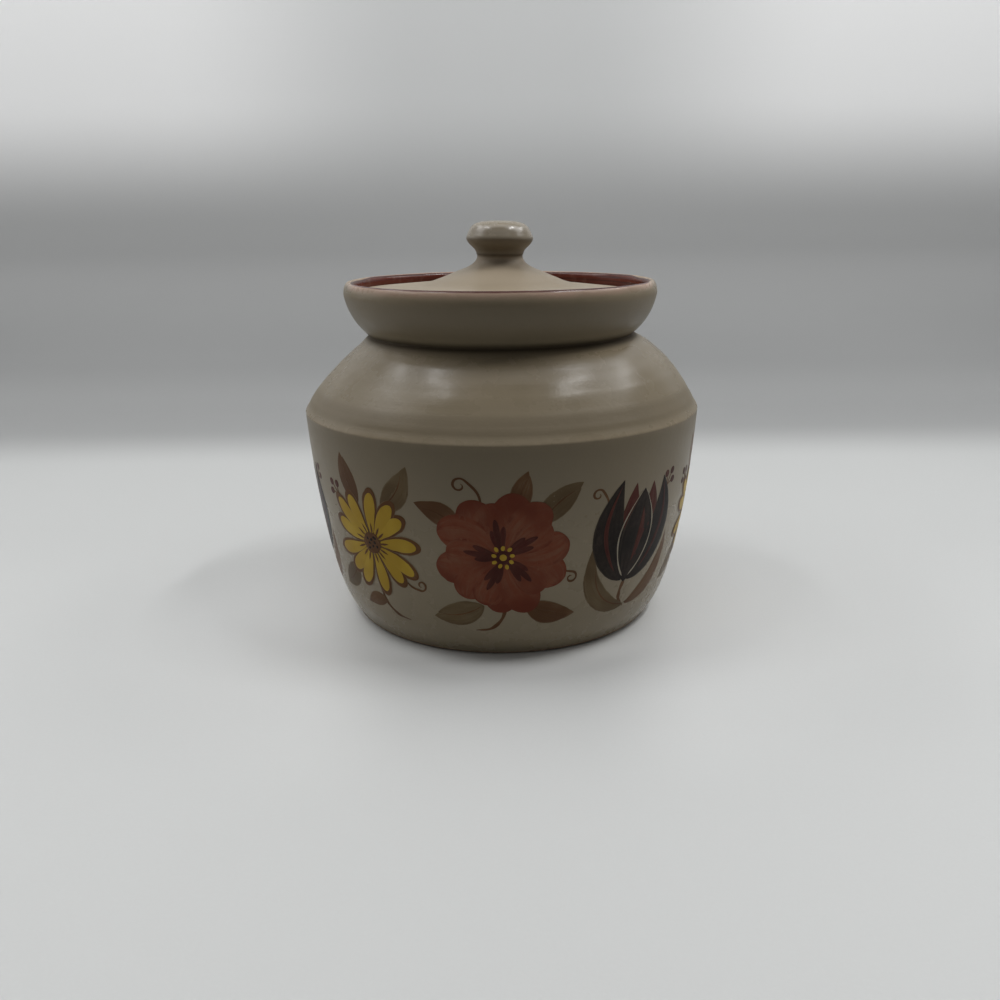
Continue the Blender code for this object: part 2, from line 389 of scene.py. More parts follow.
@dataclass
class Outline:
    """A turned piece's outline, with the marks that its finish needs at each point."""

    points: np.ndarray
    thrown: np.ndarray
    bare: np.ndarray
    crest: int = 0
    joint: float | None = None
    # Painted shade, laid in the dark colour of glaze pooled in creases.
    pooled: np.ndarray | None = None

    CROWN_REACH, FULL_CROWN = 1.1, 0.35
    CREASE_REACH, FULL_CREASE = 2.3, 0.28
    # Near the joint where the knob meets the lid, both pieces are darkened as painted shade.
    JOINT_REACH, JOINT_POOL = 1.5, 0.8

    def run(self) -> np.ndarray:
        """The distance along the outline, in millimetres."""
        steps = np.linalg.norm(np.diff(self.points, axis=0), axis=1)
        return np.concatenate(([0.0], np.cumsum(steps)))

    def bend(self, reach: float) -> np.ndarray:
        """How sharply the outline turns, in radians a millimetre, averaged over a short reach.

        Args:
            reach: the distance that it is averaged over.

        Returns:
            The bend at each point, below 0 where the outline turns right.
        """
        steps = np.diff(self.points, axis=0)
        heading = np.unwrap(np.arctan2(steps[:, 1], steps[:, 0]))
        turn = np.concatenate(([0.0], np.diff(heading), [0.0]))
        run = self.run()
        near = np.exp(-0.5 * ((run[:, None] - run[None, :]) / reach) ** 2)
        return near @ turn / (reach * math.sqrt(2.0 * math.pi))

    def mesh(self, name: str) -> bpy.types.Mesh:
        """The outline as a chain of edges in metres, with its marks as attributes.

        Args:
            name: the mesh's name.

        Returns:
            The mesh.
        """
        mesh = bpy.data.meshes.new(name)
        line = [(radius * MM, 0.0, height * MM) for radius, height in self.points]
        mesh.from_pydata(line, [(k, k + 1) for k in range(len(line) - 1)], [])
        run = self.run()
        crown = np.clip(-self.bend(self.CROWN_REACH) / self.FULL_CROWN, 0.0, 1.0)
        crease = np.clip(self.bend(self.CREASE_REACH) / self.FULL_CREASE, 0.0, 1.0)
        # Painted shade joins the darkening of creases: near the joint, and wherever pooled is given.
        if self.joint is not None:
            near = np.clip(1.0 - np.abs(self.points[:, 1] - self.joint) / self.JOINT_REACH, 0.0, 1.0)
            crown, crease = crown * (near == 0.0), np.maximum(crease, self.JOINT_POOL * near)
        if self.pooled is not None:
            crease = np.maximum(crease, self.pooled)
        marks = {
            "run": run * MM,
            "inward": (run[self.crest] - run) * MM,
            "crown": crown,
            "crease": crease,
            "thrown": self.thrown,
            "bare": self.bare,
        }
        write_marks(mesh, marks)
        return mesh


def write_marks(mesh: bpy.types.Mesh, marks: dict[str, Any]) -> None:
    """Writes named numbers on a mesh, one for each of its points."""
    for name, values in marks.items():
        mesh.attributes.new(name, "FLOAT", "POINT").data.foreach_set("value", np.array(values, np.float32))


# -------------------- The wheel: turned pieces --------------------


MARKS = ("run", "inward", "crown", "crease", "thrown", "bare")
CLOSING_REACH = 0.004 * MM
TILT_FADE, SLUMP_RISE, SLUMP_FALL = 3.0 * MM, 24.0 * MM, 6.0 * MM
UNWRAP_RISE, AXIS_CALM = 1.6, 0.02
PATCH_SCALE, PATCH_DEPTH, DRIFT_SCALE = 26.0, 1.5, 7.0


def wheel_tree() -> bpy.types.NodeTree:
    """The tree that throws a piece: turns its outline and leaves the thrower's rings and wobble.

    Returns:
        The node tree.
    """
    inputs = {
        "geometry": "Outline",
        "count": "Segments",
        "value": "Ring Depth, Ring Pitch, Wobble, Seed, Tilt, Tilt From, Slump, Slump Low, Slump High",
        "material": "Glaze",
    }
    bench, given, result = new_group("wheel", "GeometryNodeTree", inputs, {"geometry": "Geometry"})
    rows = bench.node("GeometryNodeAttributeDomainSize", {0: given["Outline"]}).outputs["Point Count"]
    columns = bench.made("FunctionNodeIntegerMath", {0: given["Segments"], 1: 1}, operation="ADD")
    sheet = bench.node("GeometryNodeMeshGrid", {"Vertices X": columns, "Vertices Y": rows}).outputs["Mesh"]
    index = bench.made("GeometryNodeInputIndex")
    column = bench.made("FunctionNodeIntegerMath", {0: index, 1: rows}, operation="DIVIDE")
    row = bench.made("FunctionNodeIntegerMath", {0: index, 1: rows}, operation="MODULO")
    share = bench.math("DIVIDE", column, given["Segments"])
    angle = bench.times(share, math.tau)

    def from_outline(value: Socket, sort: str) -> Socket:
        """Reads a value of the outline at this row."""
        inputs = {"Geometry": given["Outline"], "Value": value, "Index": row}
        return bench.made("GeometryNodeSampleIndex", inputs, data_type=sort, domain="POINT")

    place = bench.made("GeometryNodeInputPosition")
    radius, _, height = bench.split(from_outline(place, "FLOAT_VECTOR"))
    turned = bench.join(
        bench.times(radius, bench.math("COSINE", angle)),
        bench.times(radius, bench.math("SINE", angle)),
        height,
    )
    geometry = bench.made("GeometryNodeSetPosition", {"Geometry": sheet, "Position": turned})
    for name in MARKS:
        geometry = bench.keep(geometry, name, from_outline(bench.carried(name), "FLOAT"))
    run, thrown = bench.carried("run"), bench.carried("thrown")
    unwrap = bench.join(share, bench.times(run, UNWRAP_RISE), 0.0)
    geometry = bench.keep(geometry, "UVMap", unwrap, "FLOAT2", "CORNER")
    inputs = {"Geometry": geometry, "Distance": CLOSING_REACH}
    geometry = bench.made("GeometryNodeMergeByDistance", inputs)
    geometry = bench.made("GeometryNodeFlipFaces", {"Mesh": geometry})

    # The rings that the fingers leave climb the wall as a spiral, deeper here and shallower there
    x, y, z = bench.split(place)
    around = bench.math("DIVIDE", bench.math("ARCTAN2", y, x), math.tau)
    climb = bench.math("ADD", bench.math("DIVIDE", run, given["Ring Pitch"]), around)
    wave = bench.math("SINE", bench.times(climb, math.tau))
    hollow = bench.math("MULTIPLY_ADD", wave, 0.5, 0.5)
    seeded = bench.vector("ADD", place, bench.join(given["Seed"], given["Seed"], given["Seed"]))
    uneven = bench.times(bench.noise(seeded, PATCH_SCALE, 2.0), PATCH_DEPTH)
    depth = bench.times(hollow, uneven, bench.times(thrown, given["Ring Depth"]))
    facing = bench.made("GeometryNodeInputNormal")
    ringed = bench.scaled(facing, bench.times(depth, -1.0))
    drift = bench.times(bench.noise(seeded, DRIFT_SCALE, 1.0), given["Wobble"])
    out = bench.vector("NORMALIZE", bench.join(x, y, 0.0))
    settled = bench.scaled(out, bench.times(drift, -1.0))
    settled = bench.scaled(settled, bench.ramp(bench.distance(x, y), 0.0, AXIS_CALM))

    # Wet clay settles: the top tilts to one side, and a shoulder slumps towards one side below its neck
    tilted = bench.times(x, given["Tilt"], -1.0)
    clear = bench.math("ADD", given["Tilt From"], TILT_FADE)
    tilted = bench.times(tilted, bench.ramp(z, given["Tilt From"], clear))
    rise = bench.ramp(z, given["Slump Low"], bench.math("ADD", given["Slump Low"], SLUMP_RISE))
    fall = bench.ramp(z, given["Slump High"], bench.math("SUBTRACT", given["Slump High"], SLUMP_FALL))
    slumped = bench.times(rise, fall, given["Slump"])
    handmade = bench.vector("ADD", bench.vector("ADD", ringed, settled), bench.join(slumped, 0.0, tilted))
    geometry = bench.made("GeometryNodeSetPosition", {"Geometry": geometry, "Offset": handmade})
    geometry = bench.made("GeometryNodeSetShadeSmooth", {"Geometry": geometry})
    geometry = bench.made("GeometryNodeRealizeInstances", {"Geometry": geometry})
    inputs = {"Geometry": geometry, "Material": given["Glaze"]}
    geometry = bench.made("GeometryNodeSetMaterial", inputs)
    return bench.closed(result, Geometry=geometry)


def grown(
    name: str, mesh: bpy.types.Mesh, tree: bpy.types.NodeTree, values: dict[str, Any]
) -> bpy.types.Object:
    """Runs a geometry tree on a mesh and keeps the result as a plain mesh.

    Args:
        name: the finished piece's name.
        mesh: what the tree starts from.
        tree: the node tree.
        values: its inputs by name.

    Returns:
        The finished piece, at the origin.
    """
    piece = bpy.data.objects.new(name, mesh)
    bpy.context.scene.collection.objects.link(piece)
    modifier = piece.modifiers.new("made", "NODES")
    modifier.node_group = tree
    for item in tree.interface.items_tree:
        if item.in_out == "INPUT" and item.name in values:
            modifier[item.identifier] = values[item.name]
    bpy.context.view_layer.update()
    depsgraph = bpy.context.evaluated_depsgraph_get()
    made = bpy.data.meshes.new_from_object(
        piece.evaluated_get(depsgraph), preserve_all_data_layers=True, depsgraph=depsgraph
    )
    piece.modifiers.remove(modifier)
    made.name = name
    piece.data = made
    bpy.data.meshes.remove(mesh)
    made.calc_loop_triangles()
    log.info("%s: %d triangles", name, len(made.loop_triangles))
    return piece


# -------------------- Shared surface effects --------------------


class Effect(Enum):
    """The surface effects that several finishes share, each a shader node group."""

    CLOUDS = "glaze_clouds"
    SPECKS = "iron_specks"
    BREAK = "glaze_break"
    SKIN = "glaze_skin"
    WHEEL = "wheel_lines"
    CLAY = "bare_clay"
    BRUSH = "brush_load"


class EffectShelf:
    """Builds each shared effect once and places it in materials."""

    def __init__(self) -> None:
        """Starts with no group built."""
        self.groups: dict[Effect, bpy.types.NodeTree] = {}

    def place(self, bench: NodeBench, effect: Effect, inputs: dict[str, Any]) -> bpy.types.NodeOutputs:
        """Puts an effect in a material.

        Args:
            bench: the material's bench.
            effect: which effect.
            inputs: its values by name.

        Returns:
            The outputs of the placed group.
        """
        if effect not in self.groups:
            makers: dict[Effect, Callable[[], bpy.types.NodeTree]] = {
                Effect.CLOUDS: self.clouds,
                Effect.SPECKS: self.specks,
                Effect.BREAK: self.glaze_break,
                Effect.SKIN: self.skin,
                Effect.WHEEL: self.wheel_lines,
                Effect.CLAY: self.bare_clay,
                Effect.BRUSH: self.brush_load,
            }
            self.groups[effect] = makers[effect]()
        node = bench.node("ShaderNodeGroup", node_tree=self.groups[effect])
        for label, value in inputs.items():
            bench.feed(node.inputs[label], value)
        return node.outputs

    @staticmethod
    def clouds() -> bpy.types.NodeTree:
        """Soft patches where the glaze lies thinner or thicker.

        Returns:
            The shader node group.
        """
        inputs = {"vector": "Place", "colour": "Glaze, Thin, Thick", "value": "Amount"}
        bench, given, result = new_group(Effect.CLOUDS.value, "ShaderNodeTree", inputs, {"colour": "Colour"})
        broad = bench.noise(given["Place"], 13.0, 3.0, 0.55)
        close = bench.noise(given["Place"], 60.0, 2.0, 0.5)
        grain = bench.noise(given["Place"], 620.0, 2.0, 0.6)
        patch = bench.math("MULTIPLY_ADD", broad, 0.6, bench.times(close, 0.3))
        patch = bench.math("MULTIPLY_ADD", grain, 0.1, patch)
        thin = bench.times(bench.ramp(patch, 0.47, 0.66), given["Amount"])
        thick = bench.times(bench.ramp(patch, 0.53, 0.36), given["Amount"])
        colour = bench.blend(thin, given["Glaze"], given["Thin"])
        colour = bench.blend(thick, colour, given["Thick"])
        return bench.closed(result, Colour=colour)

    @staticmethod
    def specks() -> bpy.types.NodeTree:
        """Small iron specks that burnt through the glaze.

        Returns:
            The shader node group.
        """
        inputs = {"vector": "Place", "colour": "Colour, Speck", "value": "Scale, Share, Size"}
        bench, given, result = new_group(Effect.SPECKS.value, "ShaderNodeTree", inputs, {"colour": "Colour"})
        jagged = bench.scaled(bench.shake(given["Place"], 900.0, 2.0, 0.6), 0.2 * MM)
        shifted = bench.vector("ADD", given["Place"], jagged)
        cells = bench.node("ShaderNodeTexVoronoi", {"Vector": shifted, "Scale": given["Scale"]})
        chance, spread, tone = bench.split(cells.outputs["Color"])
        size = bench.times(given["Size"], bench.math("MULTIPLY_ADD", spread, 0.8, 0.35))
        inside = bench.ramp(cells.outputs["Distance"], size, bench.times(size, 0.45))
        chosen = bench.math("LESS_THAN", chance, given["Share"])
        mask = bench.times(inside, chosen, bench.math("MULTIPLY_ADD", tone, 0.5, 0.5))
        return bench.closed(result, Colour=bench.blend(mask, given["Colour"], given["Speck"]))

    @staticmethod
    def glaze_break() -> bpy.types.NodeTree:
        """Glaze that runs thin and pale off an edge and gathers dark in creases; the same dark colour also
        lays painted shade.

        Returns:
            The shader node group.
        """
        inputs = {
            "vector": "Place", "colour": "Colour, Thin, Pooled", "value": "Crown, Crease, Thinning, Pooling"
        }
        bench, given, result = new_group(Effect.BREAK.value, "ShaderNodeTree", inputs, {"colour": "Colour"})
        uneven = bench.ramp(bench.noise(given["Place"], 160.0, 3.0, 0.6), 0.3, 0.62, 0.45, 1.0)
        thin = bench.times(given["Crown"], given["Thinning"], uneven)
        # Dark glaze in creases and painted shade, in one dark colour.
        pooled = bench.times(given["Crease"], given["Pooling"])
        colour = bench.blend(thin, given["Colour"], given["Thin"])
        return bench.closed(result, Colour=bench.blend(pooled, colour, given["Pooled"]))

    @staticmethod
    def skin() -> bpy.types.NodeTree:
        """The satin skin of a fired glaze: a soft pebbling, and fine pits here and there.

        Returns:
            The shader node group.
        """
        inputs = {"vector": "Place", "value": "Pebble, Pits"}
        outputs = {"value": "Height, Sheen"}
        bench, given, result = new_group(Effect.SKIN.value, "ShaderNodeTree", inputs, outputs)
        pebble = bench.noise(given["Place"], 420.0, 2.0, 0.45)
        fine = bench.noise(given["Place"], 2100.0, 2.0, 0.5)
        cells = bench.node("ShaderNodeTexVoronoi", {"Vector": given["Place"], "Scale": 240.0})
        chance = bench.split(cells.outputs["Color"])[0]
        chosen = bench.math("LESS_THAN", chance, 0.07)
        pit = bench.times(bench.ramp(cells.outputs["Distance"], 0.07, 0.02), chosen)
        height = bench.math("MULTIPLY_ADD", fine, 0.22, pebble)
        height = bench.times(height, given["Pebble"])
        height = bench.math("SUBTRACT", height, bench.times(pit, given["Pits"]))
        return bench.closed(result, Height=height, Sheen=bench.noise(given["Place"], 60.0, 4.0, 0.6))

    @staticmethod
    def wheel_lines() -> bpy.types.NodeTree:
        """Fine lines round the piece, where sponge and fingers passed over the wet clay.

        Returns:
            The shader node group.
        """
        inputs = {"vector": "Place", "value": "Run, Fineness"}
        bench, given, result = new_group(Effect.WHEEL.value, "ShaderNodeTree", inputs, {"value": "Height"})
        x, y, _ = bench.split(given["Place"])
        around = bench.vector("NORMALIZE", bench.join(x, y, 0.0))
        ax, ay, _ = bench.split(around)
        line = bench.times(given["Run"], given["Fineness"])
        broad = bench.noise(bench.join(bench.times(ax, 0.7), bench.times(ay, 0.7), line), 0.28, 2.0, 0.5)
        close = bench.noise(bench.join(bench.times(ax, 1.6), bench.times(ay, 1.6), line), 1.0, 3.0, 0.55)
        return bench.closed(result, Height=bench.math("MULTIPLY_ADD", broad, 0.7, bench.times(close, 0.3)))

    @staticmethod
    def bare_clay() -> bpy.types.NodeTree:
        """Unglazed stoneware: warm, dry and grainy, a little darker where the glaze was wiped off.

        Returns:
            The shader node group.
        """
        inputs = {"vector": "Place", "colour": "Clay, Grog"}
        outputs = {"colour": "Colour", "value": "Height"}
        bench, given, result = new_group(Effect.CLAY.value, "ShaderNodeTree", inputs, outputs)
        tone = bench.noise(given["Place"], 70.0, 4.0, 0.6)
        grain = bench.node("ShaderNodeTexVoronoi", {"Vector": given["Place"], "Scale": 900.0})
        chance = bench.split(grain.outputs["Color"])[0]
        grog = bench.times(bench.math("LESS_THAN", chance, 0.3), bench.ramp(tone, 0.3, 0.7, 0.3, 0.9))
        colour = bench.blend(grog, given["Clay"], given["Grog"])
        rough = bench.noise(given["Place"], 1300.0, 4.0, 0.7)
        height = bench.math("MULTIPLY_ADD", grain.outputs["Distance"], 0.5, rough)
        return bench.closed(result, Colour=colour, Height=height)

    @staticmethod
    def brush_load() -> bpy.types.NodeTree:
        """Stain laid by a loaded brush: streaks along the pull, thin where dry, dark where pooled.

        Returns:
            The shader node group.
        """
        inputs = {
            "vector": "Place",
            "value": "Along, Across, Stroke, Streaks, Cover, Feather",
            "colour": "Ground, Stain, Pooled",
        }
        bench, given, result = new_group(
            Effect.BRUSH.value, "ShaderNodeTree", inputs, {"colour": "Colour", "value": "Load"}
        )
        lane = bench.join(
            bench.times(given["Across"], 2.4),
            bench.times(given["Along"], 1.1),
            bench.times(given["Stroke"], 3.7),
        )
        hairs = bench.noise(lane, 1.7, 5.0, 0.62)
        wash = bench.noise(given["Place"], 95.0, 3.0, 0.55)
        fine = bench.noise(given["Place"], 520.0, 3.0, 0.6)
        spun = bench.math("SINE", bench.times(given["Stroke"], 12.99))
        tone = bench.math("FRACT", bench.times(spun, 43.76))
        dry = bench.times(bench.ramp(hairs, 0.38, 0.66), bench.ramp(wash, 0.3, 0.7, 0.4, 1.2))
        dry = bench.math("MULTIPLY_ADD", tone, 0.35, dry)
        load = bench.math("SUBTRACT", given["Cover"], bench.times(dry, given["Streaks"]))
        load = bench.math("MULTIPLY_ADD", bench.math("SUBTRACT", fine, 0.5), 0.12, load)
        side = bench.math("ABSOLUTE", given["Across"])
        rim = bench.ramp(side, 0.66, 0.90)
        heel = bench.ramp(given["Along"], 0.14, 0.0)
        tip = bench.ramp(given["Along"], 0.88, 1.0)
        pooled = bench.math("MAXIMUM", rim, bench.math("MAXIMUM", heel, tip))
        pooled = bench.times(pooled, bench.ramp(wash, 0.42, 0.66, 0.0, 0.8))
        pooled = bench.math("MAXIMUM", pooled, bench.ramp(hairs, 0.40, 0.28, 0.0, 0.55))
        broad = bench.math("MULTIPLY_ADD", tone, 0.16, bench.noise(given["Place"], 42.0, 2.0, 0.5))
        pooled = bench.math("MAXIMUM", pooled, bench.ramp(broad, 0.44, 0.72, 0.0, 0.75))
        feather = bench.times(bench.ramp(side, 0.86, 1.0), bench.ramp(fine, 0.3, 0.6, 0.35, 0.75))
        feather = bench.times(feather, given["Feather"])
        colour = bench.blend(load, given["Ground"], given["Stain"])
        colour = bench.blend(pooled, colour, given["Pooled"])
        return bench.closed(result, Colour=bench.blend(feather, colour, given["Ground"]), Load=load)


def start_material(name: str) -> tuple[NodeBench, bpy.types.Node, Socket, bpy.types.Material]:
    """Starts a material with its Principled shader and its Object coordinates.

    Args:
        name: the material's name.

    Returns:
        The bench, the shader node, the coordinates and the material.
    """
    material = bpy.data.materials.new(name)
    material.use_nodes = True
    material.node_tree.nodes.clear()
    bench = NodeBench(material.node_tree)
    shader = bench.node("ShaderNodeBsdfPrincipled")
    output = bench.node("ShaderNodeOutputMaterial")
    bench.feed(output.inputs["Surface"], shader.outputs["BSDF"])
    place = bench.node("ShaderNodeTexCoord").outputs["Object"]
    return bench, shader, place, material


def finish_material(
    bench: NodeBench, shader: bpy.types.Node, colour: Any, roughness: Any, bump: dict[str, Any]
) -> None:
    """Feeds a shader its varying colour, roughness and bump.

    Args:
        bench: the material's bench.
        shader: the shader node.
        colour: the colour.
        roughness: the roughness.
        bump: the Bump node's inputs by name.
    """
    bench.feed(shader.inputs["Base Color"], colour)
    bench.feed(shader.inputs["Roughness"], roughness)
    bench.feed(shader.inputs["Normal"], bench.made("ShaderNodeBump", bump))


def mark(bench: NodeBench, name: str) -> Socket:
    """A number that the mesh carries."""
    return bench.node("ShaderNodeAttribute", attribute_name=name, attribute_type="GEOMETRY").outputs["Fac"]


@dataclass(frozen=True)
class BandStain:
    """The red-brown band brushed round the inside of the collar."""

    stain: Colour = (0.122, 0.024, 0.012)
    pooled: Colour = (0.056, 0.011, 0.007)
    # A pale pink where the stain ran over the lip, also a painted highlight along the lip's crest.
    bleed_and_highlight: Colour = (0.460, 0.305, 0.235)
    start: float = -0.2
    off_centre: float = 1.4
    side_drop: float = 1.6
    depth: float = 9.3
    ragged: float = 0.45
    lip_ends: Point = (0.91, 0.985)
    bleed_and_highlight_width: float = 4.2
    roughness: float = 0.20


@dataclass(frozen=True)
class GlazeFinish:
    """A satin stoneware glaze over warm grey clay, with the band where there is one."""

    name: str
    glaze: Colour = (0.236, 0.193, 0.128)
    thin: Colour = (0.262, 0.214, 0.143)
    thick: Colour = (0.207, 0.171, 0.114)
    broken: Colour = (0.320, 0.258, 0.178)
    # pooled: dark glaze gathered in creases, also used for painted shade on the collar, shoulder, belly and
    # knob.
    pooled: Colour = (0.046, 0.031, 0.015)
    speck: Colour = (0.070, 0.045, 0.028)
    clay: Colour = (0.330, 0.235, 0.160)
    grog: Colour = (0.180, 0.120, 0.080)
    roughness: float = 0.27
    sheen_spread: float = 0.10
    clouding: float = 0.3
    pebble: float = 0.5
    line_depth: float = 0.9
    fineness: float = 820.0
    bump: float = 0.10
    gloss: float = 0.22
    thinning: float = 0.7
    pooling: float = 0.8
    dulled: float = 0.8
    specks: float = 1.0
    pits: float = 0.4
    clay_roughness: float = 0.82
    clay_grain: float = 0.8
    band: BandStain | None = None

    SPECK_SIZES = ((55.0, 0.05, 0.012), (210.0, 0.006, 0.030))

    def make(self, shelf: EffectShelf) -> bpy.types.Material:
        """Makes the material.

        Args:
            shelf: the shared effects.

        Returns:
            The material.
        """
        bench, shader, place, material = start_material(self.name)
        shader.inputs["Specular IOR Level"].default_value = self.gloss
        colour = shelf.place(
            bench,
            Effect.CLOUDS,
            {
                "Place": place,
                "Glaze": self.glaze,
                "Thin": self.thin,
                "Thick": self.thick,
                "Amount": self.clouding,
            },
        )["Colour"]
        # The dark colour follows the mark of creases and painted shade.
        inputs = {"Place": place, "Colour": colour, "Thin": self.broken, "Pooled": self.pooled}
        inputs |= {"Crown": mark(bench, "crown"), "Crease": mark(bench, "crease")}
        inputs |= {"Thinning": self.thinning, "Pooling": self.pooling}
        colour = shelf.place(bench, Effect.BREAK, inputs)["Colour"]
        for scale, share, size in self.SPECK_SIZES:
            inputs = {"Place": place, "Colour": colour, "Speck": self.speck, "Scale": scale, "Size": size}
            colour = shelf.place(bench, Effect.SPECKS, inputs | {"Share": share * self.specks})["Colour"]
        skin = shelf.place(bench, Effect.SKIN, {"Place": place, "Pebble": self.pebble, "Pits": self.pits})
        half = self.sheen_spread / 2
        roughness = bench.ramp(skin["Sheen"], 0.3, 0.7, self.roughness - half, self.roughness + half)
        if self.band is not None:
            colour, roughness = self.banded(bench, place, colour, roughness)
        dull = bench.times(mark(bench, "crease"), self.pooling)
        roughness = bench.balance(dull, roughness, self.dulled)
        inputs = {"Place": place, "Clay": self.clay, "Grog": self.grog}
        clay = shelf.place(bench, Effect.CLAY, inputs)
        bare = self.bare_edge(bench, place)
        colour = bench.blend(bare, colour, clay["Colour"])
        roughness = bench.balance(bare, roughness, self.clay_roughness)
        inputs = {"Place": place, "Run": mark(bench, "run"), "Fineness": self.fineness}
        lines = shelf.place(bench, Effect.WHEEL, inputs)["Height"]
        height = bench.math("MULTIPLY_ADD", lines, self.line_depth, skin["Height"])
        height = bench.math("MULTIPLY_ADD", bench.times(clay["Height"], bare), self.clay_grain, height)
        bump = {"Strength": 1.0, "Distance": self.bump * MM, "Height": height}
        finish_material(bench, shader, colour, roughness, bump)
        return material

    def banded(
        self, bench: NodeBench, place: Socket, colour: Socket, roughness: Socket
    ) -> tuple[Socket, Socket]:
        """Lays the red-brown band over the glaze, with an uneven brushed edge on both sides, and a pale pink
        over the lip's crest that is also a painted highlight.

        Args:
            bench: the material's bench.
            place: the coordinates.
            colour: the colour below.
            roughness: the roughness below.

        Returns:
            The colour and the roughness with the band.
        """
        band = self.band
        inward = bench.math("DIVIDE", mark(bench, "inward"), MM)
        waver = bench.math("SUBTRACT", bench.noise(place, 55.0, 4.0, 0.6), 0.5)
        edge = bench.math("MULTIPLY_ADD", waver, 2.0 * band.ragged, inward)
        x, y, _ = bench.split(bench.vector("NORMALIZE", bench.vector("MULTIPLY", place, (1.0, 1.0, 0.0))))
        edge = bench.math("MULTIPLY_ADD", y, -band.off_centre, edge)
        side = bench.ramp(bench.math("ABSOLUTE", x), *band.lip_ends)
        edge = bench.math("MULTIPLY_ADD", side, -band.side_drop, edge)
        mask = bench.ramp(edge, band.start - 0.25, band.start + 0.35)
        far = bench.ramp(edge, band.depth + 0.4, band.depth - 0.3)
        streak = bench.noise(bench.vector("MULTIPLY", place, (18.0, 18.0, 900.0)), 1.0, 3.0, 0.6)
        stain = bench.blend(bench.ramp(streak, 0.4, 0.66), band.stain, band.pooled)
        heavy = bench.ramp(edge, band.start + 1.5, band.start + 0.7, 0.0, 0.8)
        stain = bench.blend(heavy, stain, band.pooled)
        # Pale pink over the lip's crest: stain that ran, and a painted highlight.
        bleed_and_highlight = bench.times(
            bench.ramp(edge, band.start - band.bleed_and_highlight_width, band.start - 0.2),
            bench.ramp(waver, -0.2, 0.25, 0.5, 0.95),
            bench.ramp(edge, band.depth + 3.0, band.depth),
            bench.ramp(side, 0.0, 1.0, 1.0, 0.25),
        )
        colour = bench.blend(bleed_and_highlight, colour, band.bleed_and_highlight)
        mask = bench.times(mask, far)
        cover = bench.times(mask, bench.ramp(bench.noise(place, 130.0, 3.0, 0.6), 0.25, 0.5, 0.88, 1.0))
        return bench.blend(cover, colour, stain), bench.balance(mask, roughness, band.roughness)

    @staticmethod
    def bare_edge(bench: NodeBench, place: Socket) -> Socket:
        """Where the glaze was wiped off, with a slightly uneven edge."""
        uneven = bench.math("SUBTRACT", bench.noise(place, 120.0, 3.0, 0.6), 0.5)
        return bench.ramp(bench.math("MULTIPLY_ADD", uneven, 0.5, mark(bench, "bare")), 0.42, 0.58)


@dataclass(frozen=True)
class StainFinish:
    """One stain of the painter's, brushed on under the glaze."""

    name: str
    stain: Colour
    pooled: Colour
    ground: Colour = (0.236, 0.193, 0.128)
    streaks: float = 0.45
    cover: float = 0.98
    feather: float = 0.6
    roughness: float = 0.36
    gloss: float = 0.07
    pebble: float = 0.5
    pits: float = 0.4
    relief: float = 0.25
    bump: float = 0.09

    def make(self, shelf: EffectShelf) -> bpy.types.Material:
        """Makes the material.

        Args:
            shelf: the shared effects.

        Returns:
            The material.
        """
        bench, shader, place, material = start_material(self.name)
        shader.inputs["Specular IOR Level"].default_value = self.gloss
        inputs = {name: mark(bench, name.lower()) for name in ("Along", "Across", "Stroke")}
        inputs |= {"Place": place, "Ground": self.ground, "Stain": self.stain, "Pooled": self.pooled}
        inputs |= {"Streaks": self.streaks, "Cover": self.cover, "Feather": self.feather}
        laid = shelf.place(bench, Effect.BRUSH, inputs)
        skin = shelf.place(bench, Effect.SKIN, {"Place": place, "Pebble": self.pebble, "Pits": self.pits})
        roughness = bench.ramp(skin["Sheen"], 0.3, 0.7, self.roughness - 0.04, self.roughness + 0.05)
        height = bench.math("MULTIPLY_ADD", laid["Load"], self.relief, skin["Height"])
        bump = {"Strength": 1.0, "Distance": self.bump * MM, "Height": height}
        finish_material(bench, shader, laid["Colour"], roughness, bump)
        return material


# -------------------- Thrown pieces: the body --------------------


@dataclass
class ThrownPiece:
    """What the body, the lid and the knob share: a glaze, and the traces of the wheel and the hand."""

    finish: GlazeFinish
    segments: int = 192
    groove_depth: float = 0.0
    groove_pitch: float = 4.0
    wobble: float = 0.1
    seed: float = 0.0
    tilt: float = 0.0165
    tilt_from: float = 0.0
    slump: float = 0.0
    slump_low: float = 0.0
    slump_high: float = 0.0

    def outline(self) -> Outline:
        """The piece's outline with its marks. Each piece has its own."""
        raise NotImplementedError

    def throw(self, name: str, wheel: bpy.types.NodeTree, shelf: EffectShelf) -> bpy.types.Object:
        """Throws the piece and glazes it.

        Args:
            name: the piece's name.
            wheel: the tree that turns outlines.
            shelf: the shared surface effects.

        Returns:
            The finished piece.
        """
        values = {
            "Segments": self.segments, "Seed": self.seed, "Tilt": self.tilt, "Glaze": self.finish.make(shelf)
        }
        for label, length in (
            ("Ring Depth", self.groove_depth),
            ("Ring Pitch", self.groove_pitch),
            ("Wobble", self.wobble),
            ("Tilt From", self.tilt_from),
            ("Slump", self.slump),
            ("Slump Low", self.slump_low),
            ("Slump High", self.slump_high),
        ):
            values[label] = length * MM
        return grown(name, self.outline().mesh(f"{name}_outline"), wheel, values)


